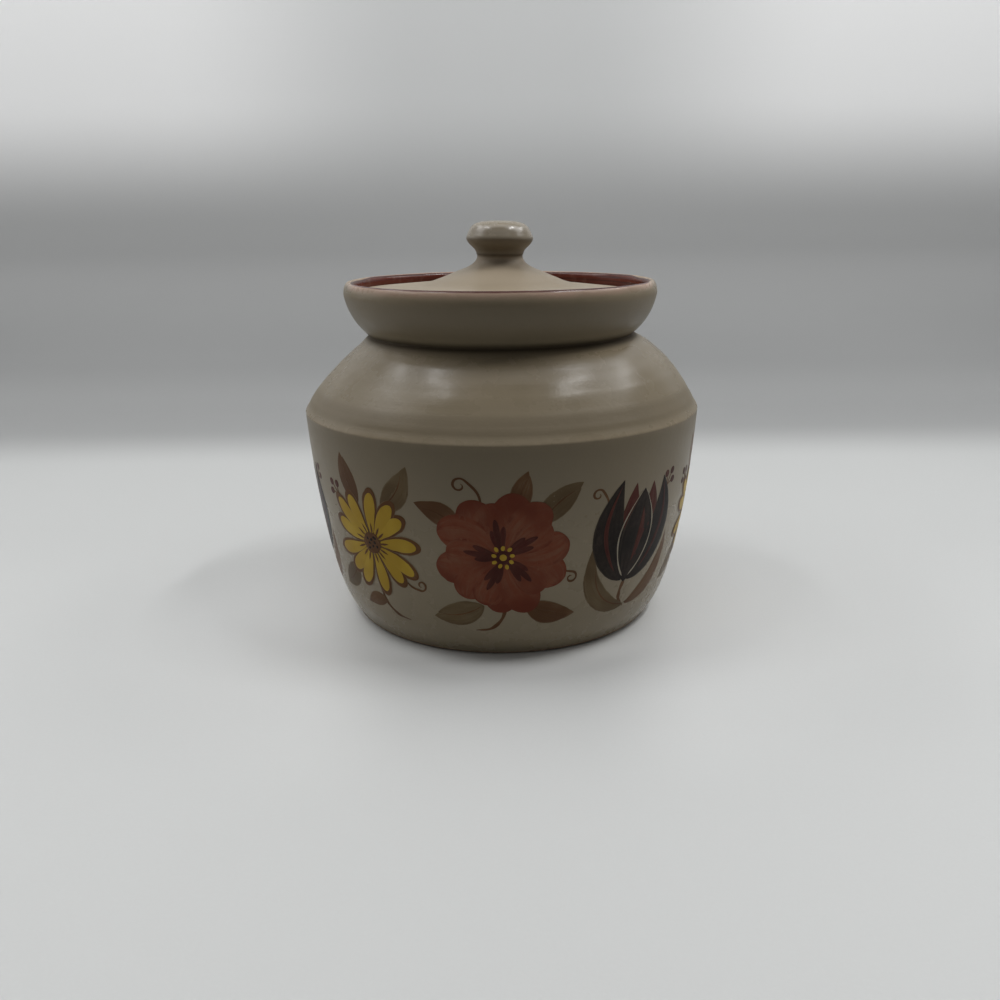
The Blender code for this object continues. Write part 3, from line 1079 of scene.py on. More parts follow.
@dataclass
class JarBody(ThrownPiece):
    """The thrown body: foot, belly, sharp shoulder, neck, and the flared collar with the ledge inside it."""

    finish: GlazeFinish = field(default_factory=lambda: GlazeFinish("jar_glaze", band=BandStain()))
    shoulder_radius: float = 100.0
    shoulder_height: float = 106.0
    shoulder_round: float = 1.4
    shoulder_bulge: float = 3.2
    lean: float = 5.9
    bow: float = 10.2
    heel_tuck: float = 6.3
    heel_height: float = 9.6
    foot_edge: Point = (2.8, 2.2)
    foot_ring: float = 8.0
    foot_round: float = 0.5
    recess: Point = (2.0, 2.0)
    recess_round: float = 1.2
    neck_radius: float = 66.2
    neck_height: float = 142.0
    neck_crease: float = 0.4
    collar_radius: float = 78.1
    collar_height: float = 162.0
    collar_bulge: float = 2.2
    lip_height: float = 167.85
    lip_round: float = 2.8
    lip_crest: float = 75.5
    bore: float = 73.2
    wall: float = 5.5
    floor_height: float = 8.5
    heel_round: float = 14.0
    throat_radius: float = 60.8
    throat_height: float = 141.0
    throat_round: float = 5.0
    ledge_inner: float = 67.2
    ledge_height: float = 157.5
    ledge_round: float = 1.5
    ledge_corner: float = 1.0
    sag_depth: float = 0.2
    sag_place: float = 3.6
    sag_reach: float = 2.0
    sag_way: Point = (0.73, 0.68)
    groove_depth: float = 0.09
    groove_pitch: float = 8.6
    wobble: float = 0.16
    seed: float = 3.0
    tilt: float = 0.003
    tilt_from: float = 142.0
    slump: float = 1.9
    slump_low: float = 109.0
    slump_high: float = 142.5
    mesh_step: float = 2.6

    def belly_radius(self, height: float) -> float:
        """Outside radius at a height: a leaning, bowed wall that tucks in at the heel.

        Args:
            height: the height above the table.

        Returns:
            The radius.
        """
        below = 1.0 - height / self.shoulder_height
        tuck = self.heel_tuck * math.exp(-height / self.heel_height)
        return self.shoulder_radius - self.lean * below - self.bow * below**2 - tuck

    def belly(self, low: float, count: int) -> list[Point]:
        """The belly from a low height up to the shoulder.

        Args:
            low: the lowest height.
            count: how many points it has.

        Returns:
            The points.
        """
        share = np.linspace(0.0, 1.0, count) ** 1.25
        heights = low + (self.shoulder_height - low) * share
        return [(self.belly_radius(height), height) for height in heights]

    def shoulder(self, count: int) -> list[Point]:
        """The shoulder from its sharp edge up to the neck, with the soft dip just above the edge.

        Args:
            count: how many points it has.

        Returns:
            The points.
        """
        edge = (self.shoulder_radius, self.shoulder_height)
        curve = bulged(edge, (self.neck_radius, self.neck_height), self.shoulder_bulge, count)
        dipped = []
        for radius, height in curve:
            near = (math.dist(edge, (radius, height)) - self.sag_place) / self.sag_reach
            dip = self.sag_depth * math.exp(-near * near)
            dipped.append((radius - self.sag_way[0] * dip, height - self.sag_way[1] * dip))
        dipped[0] = edge
        return dipped

    def outline(self) -> Outline:
        """The whole outline, from the middle of the floor inside, over the lip, to the middle of the foot.

        Returns:
            The outline with its marks.
        """
        neck = (self.neck_radius, self.neck_height)
        wall_foot = self.floor_height + self.heel_round
        plain_shoulder = bulged((self.shoulder_radius, self.shoulder_height), neck, self.shoulder_bulge, 26)
        inner = inset(self.belly(wall_foot, 44) + plain_shoulder[1:], self.wall)
        centre = (inner[0][0] - self.heel_round, inner[0][1])
        heel = oval_arc(centre, (-90.0, 0.0), self.heel_round, inner[0][1] - self.floor_height, 14)
        inside = [(0.0, self.floor_height)] + heel + inner[1:]
        ledge = [
            (self.throat_radius, self.throat_height, self.throat_round),
            (self.ledge_inner, self.ledge_height, self.ledge_round),
            (self.bore, self.ledge_height, self.ledge_corner),
        ]
        lip_start = (self.lip_crest, self.lip_height - self.lip_round)
        lip = oval_arc(lip_start, (180.0, 90.0), self.lip_crest - self.bore, self.lip_round, 9)
        rise = self.lip_height - self.collar_height
        width = self.collar_radius - self.lip_crest
        lip += oval_arc((self.lip_crest, self.collar_height), (90.0, 0.0), width, rise, 12)[1:]
        collar = bulged(neck, (self.collar_radius, self.collar_height), self.collar_bulge, 20)[-2:0:-1]
        shoulder = self.shoulder(46)[-2:0:-1]
        edge = (self.shoulder_radius, self.shoulder_height, self.shoulder_round)
        belly = self.belly(self.foot_edge[1], 76)[-2::-1]
        ring_outer = self.belly_radius(self.foot_edge[1]) - self.foot_edge[0]
        ring_inner = ring_outer - self.foot_ring
        foot = oval_arc((ring_outer, self.foot_edge[1]), (0.0, -90.0), *self.foot_edge, 9)[1:]
        recess = (ring_inner - self.recess[0], self.recess[1], self.recess_round)
        outside = collar + [(*neck, self.neck_crease)] + shoulder + [edge] + belly + foot
        under = [(ring_inner, 0.0, self.foot_round), recess, (0.0, self.recess[1])]
        corners = inside + ledge + lip + outside + under
        plain = rounded_outline(corners)
        top = int(np.argmax([height for _, height in plain]))
        points = filled_runs(plain, self.mesh_step)
        crest = int(np.argmin(np.linalg.norm(points - np.array(plain[top]), axis=1)))
        return self.marked(points, crest)

    def marked(self, points: np.ndarray, crest: int) -> Outline:
        """Marks the rings, the bare clay, the lip's crest and the painted shade on the outline.

        Args:
            points: the outline.
            crest: the number of the highest point.

        Returns:
            The outline with its marks.
        """
        radius, height = points[:, 0], points[:, 1]
        inner = np.arange(len(points)) < crest
        wall = window(height, self.floor_height + 8.0, self.throat_height - 4.0, 10.0)
        shoulder = window(height, self.shoulder_height + 3.5, self.neck_height - 3.0, 5.0)
        belly = 0.5 * window(height, 8.0, self.shoulder_height - 4.0, 9.0)
        floor = 0.6 * window(radius, 6.0, 60.0, 8.0) * (height < self.floor_height + 1.0)
        thrown = np.where(inner, np.maximum(1.6 * wall, floor), np.maximum(shoulder, belly))
        on_ledge = inner & (np.abs(height - self.ledge_height) < 0.6) & (radius > self.ledge_inner - 1.0)
        on_foot = ~inner & (height < 1.7)
        # Painted shade in the pooled colour: on the collar's outer face, on the shoulder just above its sharp
        # edge, and on the belly, growing darker up to that edge.
        collar = 0.30 * window(height, self.neck_height + 1.0, self.lip_height - 1.5, 5.0)
        dip = 0.26 * window(height, self.shoulder_height + 1.2, self.shoulder_height + 13.0, 4.0)
        below = 0.34 * np.clip((height - 58.0) / 44.0, 0.0, 1.0) * (height < self.shoulder_height - 0.4)
        shade = ~inner * np.maximum(np.maximum(collar, dip), below)
        return Outline(points, thrown, (on_ledge | on_foot).astype(float), crest, pooled=shade)


# -------------------- The lid and its knob --------------------


@dataclass
class Lid(ThrownPiece):
    """The lid: a shallow cone with a flare at its middle, and the ring below that keeps it centred."""

    # A lighter copy of the body's glaze: painted light on the top-lit lid.
    finish: GlazeFinish = field(
        default_factory=lambda: GlazeFinish(
            "lid_glaze",
            glaze=(0.305, 0.252, 0.184),
            thin=(0.332, 0.275, 0.202),
            thick=(0.274, 0.228, 0.167),
            roughness=0.38,
            line_depth=0.7,
            fineness=700.0,
            gloss=0.12,
            specks=0.15,
            pits=0.05,
        )
    )
    seat: float = 157.8
    radius: float = 71.9
    edge_thickness: float = 4.6
    edge_round: float = 2.1
    edge_middle: float = 1.6
    cone_rise: float = 3.8
    flare_radius: float = 35.7
    flare_blend: float = 38.0
    wall: float = 5.0
    neck_top: float = 23.3
    neck: tuple[Point, Point, Point] = ((11.4, 22.6), (10.6, 17.9), (19.5, 14.9))
    under_middle: float = 11.6
    joint_height: float = 22.4
    hollow_radius: float = 8.0
    hollow_round: float = 6.0
    ring_radius: float = 63.42
    ring_depth: float = 7.0
    ring_width: float = 4.5
    ring_draft: float = 0.5
    ring_root: float = 1.5
    ring_round: float = 1.4
    groove_depth: float = 0.07
    groove_pitch: float = 7.2
    wobble: float = 0.10
    seed: float = 11.0
    tilt_from: float = 158.4
    mesh_step: float = 1.5

    def top_height(self, radius: float) -> float:
        """Height of the shallow cone above the seat."""
        run = self.radius - self.flare_radius
        return self.edge_thickness + self.cone_rise * (self.radius - radius) / run

    @property
    def flare_foot(self) -> float:
        """Height above the seat where the flare starts."""
        return self.edge_thickness + self.cone_rise

    def neck_curve(self) -> list[Point]:
        """The hollow curve from the knob's joint out into the flare, from the top down."""
        return [tuple(spot) for spot in swung(np.array(self.neck), np.linspace(0.0, 1.0, 16))]

    def outline(self) -> Outline:
        """The outline from the waist down the top, round the edge and back under the lid.

        Returns:
            The outline with its marks.
        """
        ring_inner = self.ring_radius - self.ring_width
        hollow_edge = ring_inner - self.ring_draft
        corners = [(0.0, self.neck_top), (self.neck[0][0], self.neck_top)] + self.neck_curve() + [
            (self.flare_radius, self.flare_foot, self.flare_blend),
            (self.radius, self.edge_thickness, self.edge_round),
            (self.radius, 0.0, self.edge_round),
            (self.ring_radius + self.ring_draft, 0.0, self.ring_root),
            (self.ring_radius, -self.ring_depth, self.ring_round),
            (ring_inner, -self.ring_depth, self.ring_round),
            (hollow_edge, self.top_height(hollow_edge) - self.wall, self.ring_root),
            (self.flare_radius, self.flare_foot - self.wall, self.flare_blend),
            (self.hollow_radius, self.under_middle, self.hollow_round),
            (0.0, self.under_middle),
        ]
        points = filled_runs(rounded_outline(corners), self.mesh_step)
        radius, height = points[:, 0], points[:, 1]
        edge = int(np.argmin(np.linalg.norm(points - np.array((self.radius, self.edge_middle)), axis=1)))
        upper = np.arange(len(points)) < edge
        rings = window(radius, self.neck[2][0] - 4.0, self.radius - 6.0, 10.0)
        under = window(radius, 6.0, hollow_edge - 3.0, 8.0)
        bare = ~upper & (height < 1.0) & (radius > ring_inner - 1.0)
        points[:, 1] += self.seat
        # The lid is darkened as painted shade near this joint.
        joint = self.seat + self.joint_height
        return Outline(points, np.where(upper, rings, 1.4 * under), bare.astype(float), edge, joint)


@dataclass
class LidKnob(ThrownPiece):
    """The mushroom-shaped knob, thrown apart and joined to the lid with slip."""

    # A slightly darker copy of the body's glaze: painted shade on the knob.
    finish: GlazeFinish = field(
        default_factory=lambda: GlazeFinish(
            "knob_glaze",
            glaze=(0.222, 0.184, 0.125),
            thin=(0.246, 0.205, 0.140),
            thick=(0.196, 0.163, 0.111),
            sheen_spread=0.06,
            pebble=0.25,
            line_depth=0.4,
            gloss=0.66,
            thinning=0.1,
            specks=0.0,
            pits=0.1,
        )
    )
    joint: float = 180.2
    widest: float = 187.7
    profile: tuple[Point, ...] = (
        (0.0, 196.2), (3.5, 196.18), (7.0, 195.98), (9.7, 195.6), (11.8, 194.95),
        (13.2, 194.15), (14.15, 193.2), (14.85, 192.15), (15.4, 191.1), (15.85, 190.1),
        (16.25, 189.2), (16.5, 188.45), (16.6, 187.75), (16.4, 186.95), (15.9, 186.0),
        (15.1, 185.0), (14.1, 184.0), (13.05, 183.05), (12.3, 182.1), (11.9, 181.2),
        (11.7, 180.2),
    )
    segments: int = 128
    wobble: float = 0.12
    seed: float = 23.0
    mesh_step: float = 0.6
    underside: Point = (-3.0, 1.9)
    underside_painted_shade: float = 0.38

    def outline(self) -> Outline:
        """The outline from the top of the dome down to the joint.

        Returns:
            The outline with its marks.
        """
        line = threaded(np.array(self.profile), np.linspace(0.0, 1.0, 6 * len(self.profile)))
        points = filled_runs([tuple(spot) for spot in line] + [(0.0, self.joint)], self.mesh_step)
        # The underside, from the joint up to just above the widest point, is darkened as painted shade.
        below, above = self.underside
        under = window(points[:, 1], self.joint + below, self.widest + above, 2.2)
        none = np.zeros(len(points))
        return Outline(points, none, none, joint=self.joint, pooled=self.underside_painted_shade * under)


# -------------------- The painted sprigs --------------------


class Pull(Enum):
    """How a brush is pulled: the shape that a stroke gets."""

    PETAL = "petal"
    LEAF = "leaf"
    LINE = "line"
    DAB = "dab"


class Stain(Enum):
    """The painter's stains."""

    VINE = "vine"
    OLIVE = "olive"
    LEAF = "leaf"
    UNDER = "under"
    BRICK = "brick"
    WINE = "wine"
    YELLOW = "yellow"
    PLUM = "plum"
    PALE = "pale"


def dome(share: np.ndarray) -> np.ndarray:
    """Falls from 1 at share 0 to 0 at share 1 or -1, as a circle does."""
    return np.sqrt(np.clip(1.0 - share**2, 0, 1))


@dataclass(frozen=True)
class Stroke:
    """One pull of the brush on the unrolled belly, in millimetres."""

    stain: Stain
    pull: Pull
    path: tuple[Point, ...]
    half_width: float
    count: int

    FULLEST, HEEL = 0.68, 0.12

    def line(self) -> tuple[np.ndarray, np.ndarray]:
        """The stroke's middle line, with its points closer together at its ends.

        Returns:
            The line's points, and the share of the stroke passed at each.
        """
        turns = np.linspace(0.0, 1.0, self.count)
        along = turns if self.pull is Pull.LINE else 0.5 - 0.5 * np.cos(math.pi * turns)
        knots = np.array(self.path, float)
        if len(knots) == 3:
            return swung(knots, along), along
        if len(knots) == 2:
            return knots[0] + along[:, None] * (knots[1] - knots[0]), along
        return threaded(knots, along), along

    def widths(self, along: np.ndarray) -> np.ndarray:
        """Half of the stroke's width at each point.

        Args:
            along: how far along the stroke each point is.

        Returns:
            The half widths.
        """
        if self.pull is Pull.PETAL:
            swell = 0.30 + 0.70 * np.sin(np.clip(along / self.FULLEST, 0, 1) * math.pi / 2) ** 1.2
            tip = dome(((along - self.FULLEST) / (1.0 - self.FULLEST)).clip(0, 1))
            shape = swell * tip * dome((1.0 - along / self.HEEL).clip(0, 1))
        elif self.pull is Pull.LEAF:
            shape = np.sin(math.pi * along**0.85) ** 0.85
        elif self.pull is Pull.DAB:
            shape = dome(2.0 * along - 1.0)
        else:
            start = np.clip(along / 0.03, 0, 1) ** 0.5
            finish = np.clip((1.0 - along) / 0.35, 0.12, 1) ** 0.6
            shape = start * finish * (0.86 + 0.14 * np.sin(19.0 * along + 5.0 * self.path[0][0]))
        return np.maximum(shape * self.half_width, 0.04)


def polar(centre: Point, angle: float, reach: float) -> Point:
    """A point at an angle and a distance from another."""
    turn = math.radians(angle)
    return centre[0] + reach * math.cos(turn), centre[1] + reach * math.sin(turn)


def leaf(root: Point, angle: float, length: float, bend: float, stain: Stain) -> list[Stroke]:
    """A leaf pulled in two strokes side by side, with its vein.

    Args:
        root: where it leaves the stem.
        angle: the way it points, in degrees.
        length: its length.
        bend: how far its middle swings to the left.
        stain: its colour.

    Returns:
        The leaf and its vein.
    """
    middle = polar(polar(root, angle, length * 0.5), angle + 90.0, 2.0 * bend)
    tip = polar(root, angle, length)
    other = polar(polar(root, angle, length * 0.45), angle + 90.0, 2.0 * bend - 0.19 * length)
    vein = (
        polar(root, angle, length * 0.06),
        polar(middle, angle + 90.0, -0.5),
        polar(root, angle, length * 0.80),
    )
    return [
        Stroke(stain, Pull.LEAF, (root, middle, tip), 0.22 * length, 24),
        Stroke(stain, Pull.LEAF, (root, other, polar(root, angle - 3.0, length * 0.90)), 0.15 * length, 24),
        Stroke(Stain.VINE, Pull.LINE, vein, 0.40, 20),
    ]


def curl(root: Point, angle: float, length: float, radius: float) -> Stroke:
    """A thin shoot that ends in a curl.

    Args:
        root: where it leaves the stem.
        angle: the way it sets off, in degrees.
        length: the length of its straight part.
        radius: the curl's radius, below 0 to curl to the right.

    Returns:
        The stroke.
    """
    turn = math.copysign(1.0, radius)
    path = [root, polar(polar(root, angle, length * 0.5), angle + 90.0, -turn * length * 0.12)]
    hub = polar(polar(root, angle, length), angle + 90.0 * turn, abs(radius))
    for k in range(9):
        path.append(polar(hub, angle - 90.0 * turn + turn * 48.0 * k, abs(radius) * (1.0 - 0.09 * k)))
    return Stroke(Stain.VINE, Pull.LINE, tuple(path), 0.62, 60)


def dab(
    centre: Point, angle: float, half_length: float, half_width: float, stain: Stain, count: int = 14
) -> Stroke:
    """A short oval touch of the brush."""
    path = (polar(centre, angle, -half_length), polar(centre, angle, half_length))
    return Stroke(stain, Pull.DAB, path, half_width, count)


@dataclass
class Sprig:
    """A flower head with its stem, leaves and shoots: the common part of the painted motifs."""

    centre: Point

    def at(self, across: float, up: float, lean: float = 0.0) -> Point:
        """A place on the sprig.

        Args:
            across: the distance to the right of its centre.
            up: the distance above its centre.
            lean: how far the sprig leans to the right there, in degrees.

        Returns:
            The place on the belly.
        """
        turn = math.radians(lean)
        x = self.centre[0] + across * math.cos(turn) + up * math.sin(turn)
        return x, self.centre[1] - across * math.sin(turn) + up * math.cos(turn)

    def stem(self, *spots: Point, half_width: float = 1.05) -> Stroke:
        """A stem drawn in one pull."""
        return Stroke(Stain.VINE, Pull.LINE, tuple(self.at(*spot) for spot in spots), half_width, 60)

    def leaves(self, *rows: tuple[float, float, float, float, float, Stain]) -> list[Stroke]:
        """Leaves, each with its place across and up, its angle, its length, its bend and its stain."""
        return [stroke for across, up, *shape in rows for stroke in leaf(self.at(across, up), *shape)]

    def buds(self, across: float, up: float, angle: float) -> list[Stroke]:
        """Three small buds on short stalks.

        Args:
            across: the distance of their fork to the right of the centre.
            up: its distance above the centre.
            angle: the way they point.

        Returns:
            The strokes.
        """
        fork = self.at(across, up)
        made = []
        for k, reach in ((-1, 6.0), (1, 6.6), (0, 8.4)):
            tip = polar(fork, angle + 34.0 * k, reach)
            stalk = (fork, polar(fork, angle + 20.0 * k, reach * 0.5), tip)
            made.append(Stroke(Stain.VINE, Pull.LINE, stalk, 0.42, 14))
            made.append(dab(tip, angle + 34.0 * k, 1.9, 1.7, Stain.WINE))
        return made


@dataclass
class Bloom(Sprig):
    """A broad five-petalled bloom in brick red, with a yellow eye."""

    reach: float = 29.5
    lean: float = 12.0

    def strokes(self) -> list[Stroke]:
        """Draws the sprig.

        Returns:
            The strokes, from the back to the front.
        """
        made = [self.stem((2.0, -20.0), (0.0, -31.0), (-6.0, -37.5), (-14.0, -39.0))]
        made += self.leaves(
            (16.0, 15.0, 44.0, 26.0, 1.8, Stain.OLIVE),
            (7.0, 20.0, 80.0, 20.0, 1.2, Stain.LEAF),
            (-19.0, 12.0, 150.0, 23.0, -1.7, Stain.LEAF),
            (-9.0, -25.0, 197.0, 27.0, 2.0, Stain.OLIVE),
            (11.0, -24.0, -17.0, 26.0, -1.8, Stain.LEAF),
        )
        made.append(curl(self.at(-9.0, 24.0), 118.0, 12.0, 3.8))
        made.append(curl(self.at(22.0, -10.0), 4.0, 10.0, -3.0))
        for k in range(5):
            angle = 90.0 + self.lean + 72.0 * k
            grow = 1.0 + 0.06 * math.sin(2.3 * k)
            for side in (-1.0, 1.0):
                path = (
                    polar(self.centre, angle + side * 12.0, 3.5),
                    polar(self.centre, angle + side * 38.0, self.reach * 0.58 * grow),
                    polar(self.centre, angle + side * 14.0, self.reach * grow),
                )
                made.append(Stroke(Stain.BRICK, Pull.PETAL, path, 8.9, 26))
            path = (polar(self.centre, angle, 4.0), polar(self.centre, angle + 4.0, self.reach * 0.88))
            made.append(Stroke(Stain.BRICK, Pull.PETAL, path, 8.0, 26))
        for k in range(5):
            angle = 90.0 + self.lean + 72.0 * k
            for side, far in ((-13.0, 0.50), (12.0, 0.46), (0.0, 0.62)):
                path = (
                    polar(self.centre, angle + 0.4 * side, 2.0),
                    polar(self.centre, angle + side + 6.0, self.reach * far * 0.5),
                    polar(self.centre, angle + side, self.reach * far),
                )
                made.append(Stroke(Stain.WINE, Pull.PETAL, path, 1.4, 18))
        made.append(dab(self.centre, 20.0, 3.6, 3.4, Stain.WINE, 16))
        for k in range(9):
            spot = polar(self.centre, 40.0 * k + 11.0, 4.4 + 0.5 * (k % 2))
            made.append(dab(spot, 40.0 * k, 1.2, 0.9, Stain.YELLOW, 12))
        made.append(dab(self.centre, 20.0, 1.7, 1.6, Stain.YELLOW, 14))
        return made


@dataclass
class Daisy(Sprig):
    """A yellow daisy on a brown under-wash, with a dark eye."""

    reach: float = 25.0
    petals: int = 13

    def strokes(self) -> list[Stroke]:
        """Draws the sprig.

        Returns:
            The strokes, from the back to the front.
        """
        made = [self.stem((0.0, -20.0), (2.0, -31.0), (8.0, -37.0), (16.0, -38.5))]
        made += self.leaves(
            (-5.0, 19.0, 113.0, 24.0, 2.0, Stain.LEAF),
            (9.0, 18.0, 54.0, 26.0, -2.0, Stain.OLIVE),
            (-15.0, -15.0, 221.0, 24.0, 1.8, Stain.OLIVE),
            (3.0, -31.0, 196.0, 17.0, -1.2, Stain.LEAF),
        )
        made += self.buds(-19.0, 18.0, 134.0)
        made.append(curl(self.at(17.0, -16.0), -30.0, 9.0, 3.0))
        for stain, wide, long in ((Stain.UNDER, 4.6, 2.6), (Stain.YELLOW, 3.35, 0.0)):
            for k in range(self.petals):
                angle = 360.0 * k / self.petals + 5.0 * math.sin(1.9 * k)
                grow = 1.0 + 0.06 * math.sin(2.7 * k + 1.0)
                path = (
                    polar(self.centre, angle, 4.2),
                    polar(self.centre, angle + 5.0, self.reach * 0.6),
                    polar(self.centre, angle + 1.0, self.reach * grow + long),
                )
                made.append(Stroke(stain, Pull.PETAL, path, wide, 20))
        for k in range(self.petals):
            angle = 360.0 * k / self.petals + 5.0 * math.sin(1.9 * k)
            path = (polar(self.centre, angle, 5.0), polar(self.centre, angle + 3.0, self.reach * 0.42))
            made.append(Stroke(Stain.UNDER, Pull.LEAF, path, 0.55, 14))
        for k in range(3):
            made.append(dab(self.centre, 60.0 * k, 5.6, 4.6, Stain.UNDER, 16))
        for k in range(11):
            spot = polar(self.centre, 47.0 * k, 3.4 if k % 2 else 1.7)
            made.append(dab(spot, 40.0 * k, 0.75, 0.62, Stain.PLUM, 10))
        return made


@dataclass
class Tulip(Sprig):
    """A dark plum tulip, with fine pale lines between its petals."""

    height: float = 49.0
    lean: float = 7.0

    def petal(
        self, stain: Stain, spots: tuple[Point, ...], half_width: float, pull: Pull = Pull.LEAF
    ) -> Stroke:
        """A stroke of the leaning flower head through some places on it."""
        return Stroke(stain, pull, tuple(self.at(*spot, self.lean) for spot in spots), half_width, 28)

    def strokes(self) -> list[Stroke]:
        """Draws the sprig.

        Returns:
            The strokes, from the back to the front.
        """
        half = self.height / 2.0
        stalk = ((-2.4, 0.0), (-4.0, -6.0), (-3.0, -11.0), (1.0, -15.5))
        made = [self.stem(*((across, up - half) for across, up in stalk), half_width=1.25)]
        for stain, pull, spots, half_width, count in (
            (Stain.LEAF, Pull.LEAF, ((2.0, -14.5), (26.0, -9.0), (27.0, 17.0)), 5.2, 34),
            (Stain.OLIVE, Pull.LEAF, ((1.0, -14.5), (-28.0, -10.0), (-24.0, 21.0)), 5.6, 34),
            (Stain.VINE, Pull.LINE, ((1.0, -14.0), (17.0, -9.0), (21.0, 6.0)), 0.46, 30),
            (Stain.VINE, Pull.LINE, ((0.0, -14.0), (-21.0, -9.0), (-21.5, 10.0)), 0.46, 30),
        ):
            blade = tuple(self.at(across, up - half) for across, up in spots)
            made.append(Stroke(stain, pull, blade, half_width, count))
        made.append(curl(self.at(-19.0, 14.0), 104.0, 9.0, 3.0))
        made += self.buds(20.0, 17.0, 60.0)
        for stain, half_width, *spots in (
            (Stain.WINE, 6.6, (1.5, -half + 3), (9.0, 0.0), (6.0, half - 1.0)),
            (Stain.PLUM, 9.0, (2.0, -half), (25.0, -6.0), (14.0, half + 1.0)),
        ):
            for side in (-1.0, 1.0):
                made.append(self.petal(stain, tuple((side * across, up) for across, up in spots), half_width))
        made.append(self.petal(Stain.PLUM, ((0.0, -half - 1.0), (1.5, 0.0), (0.0, half - 4.0)), 10.4))
        for side in (-1.0, 1.0):
            edge = ((side * 2.0, -half + 2.0), (side * 20.5, -4.0), (side * 0.8, half - 4.5))
            made.append(self.petal(Stain.PALE, edge, 0.45, Pull.LINE))
            edge = ((side * 8.5, -half + 5.0), (side * 26.0, -2.0), (side * 14.4, half - 1.5))
            made.append(self.petal(Stain.WINE, edge, 1.2))
        made.append(self.petal(Stain.WINE, ((1.0, -half + 9.0), (4.0, 0.0), (1.0, half - 13.0)), 1.7))
        return made


CLEAR_OF_JAR = 0.14


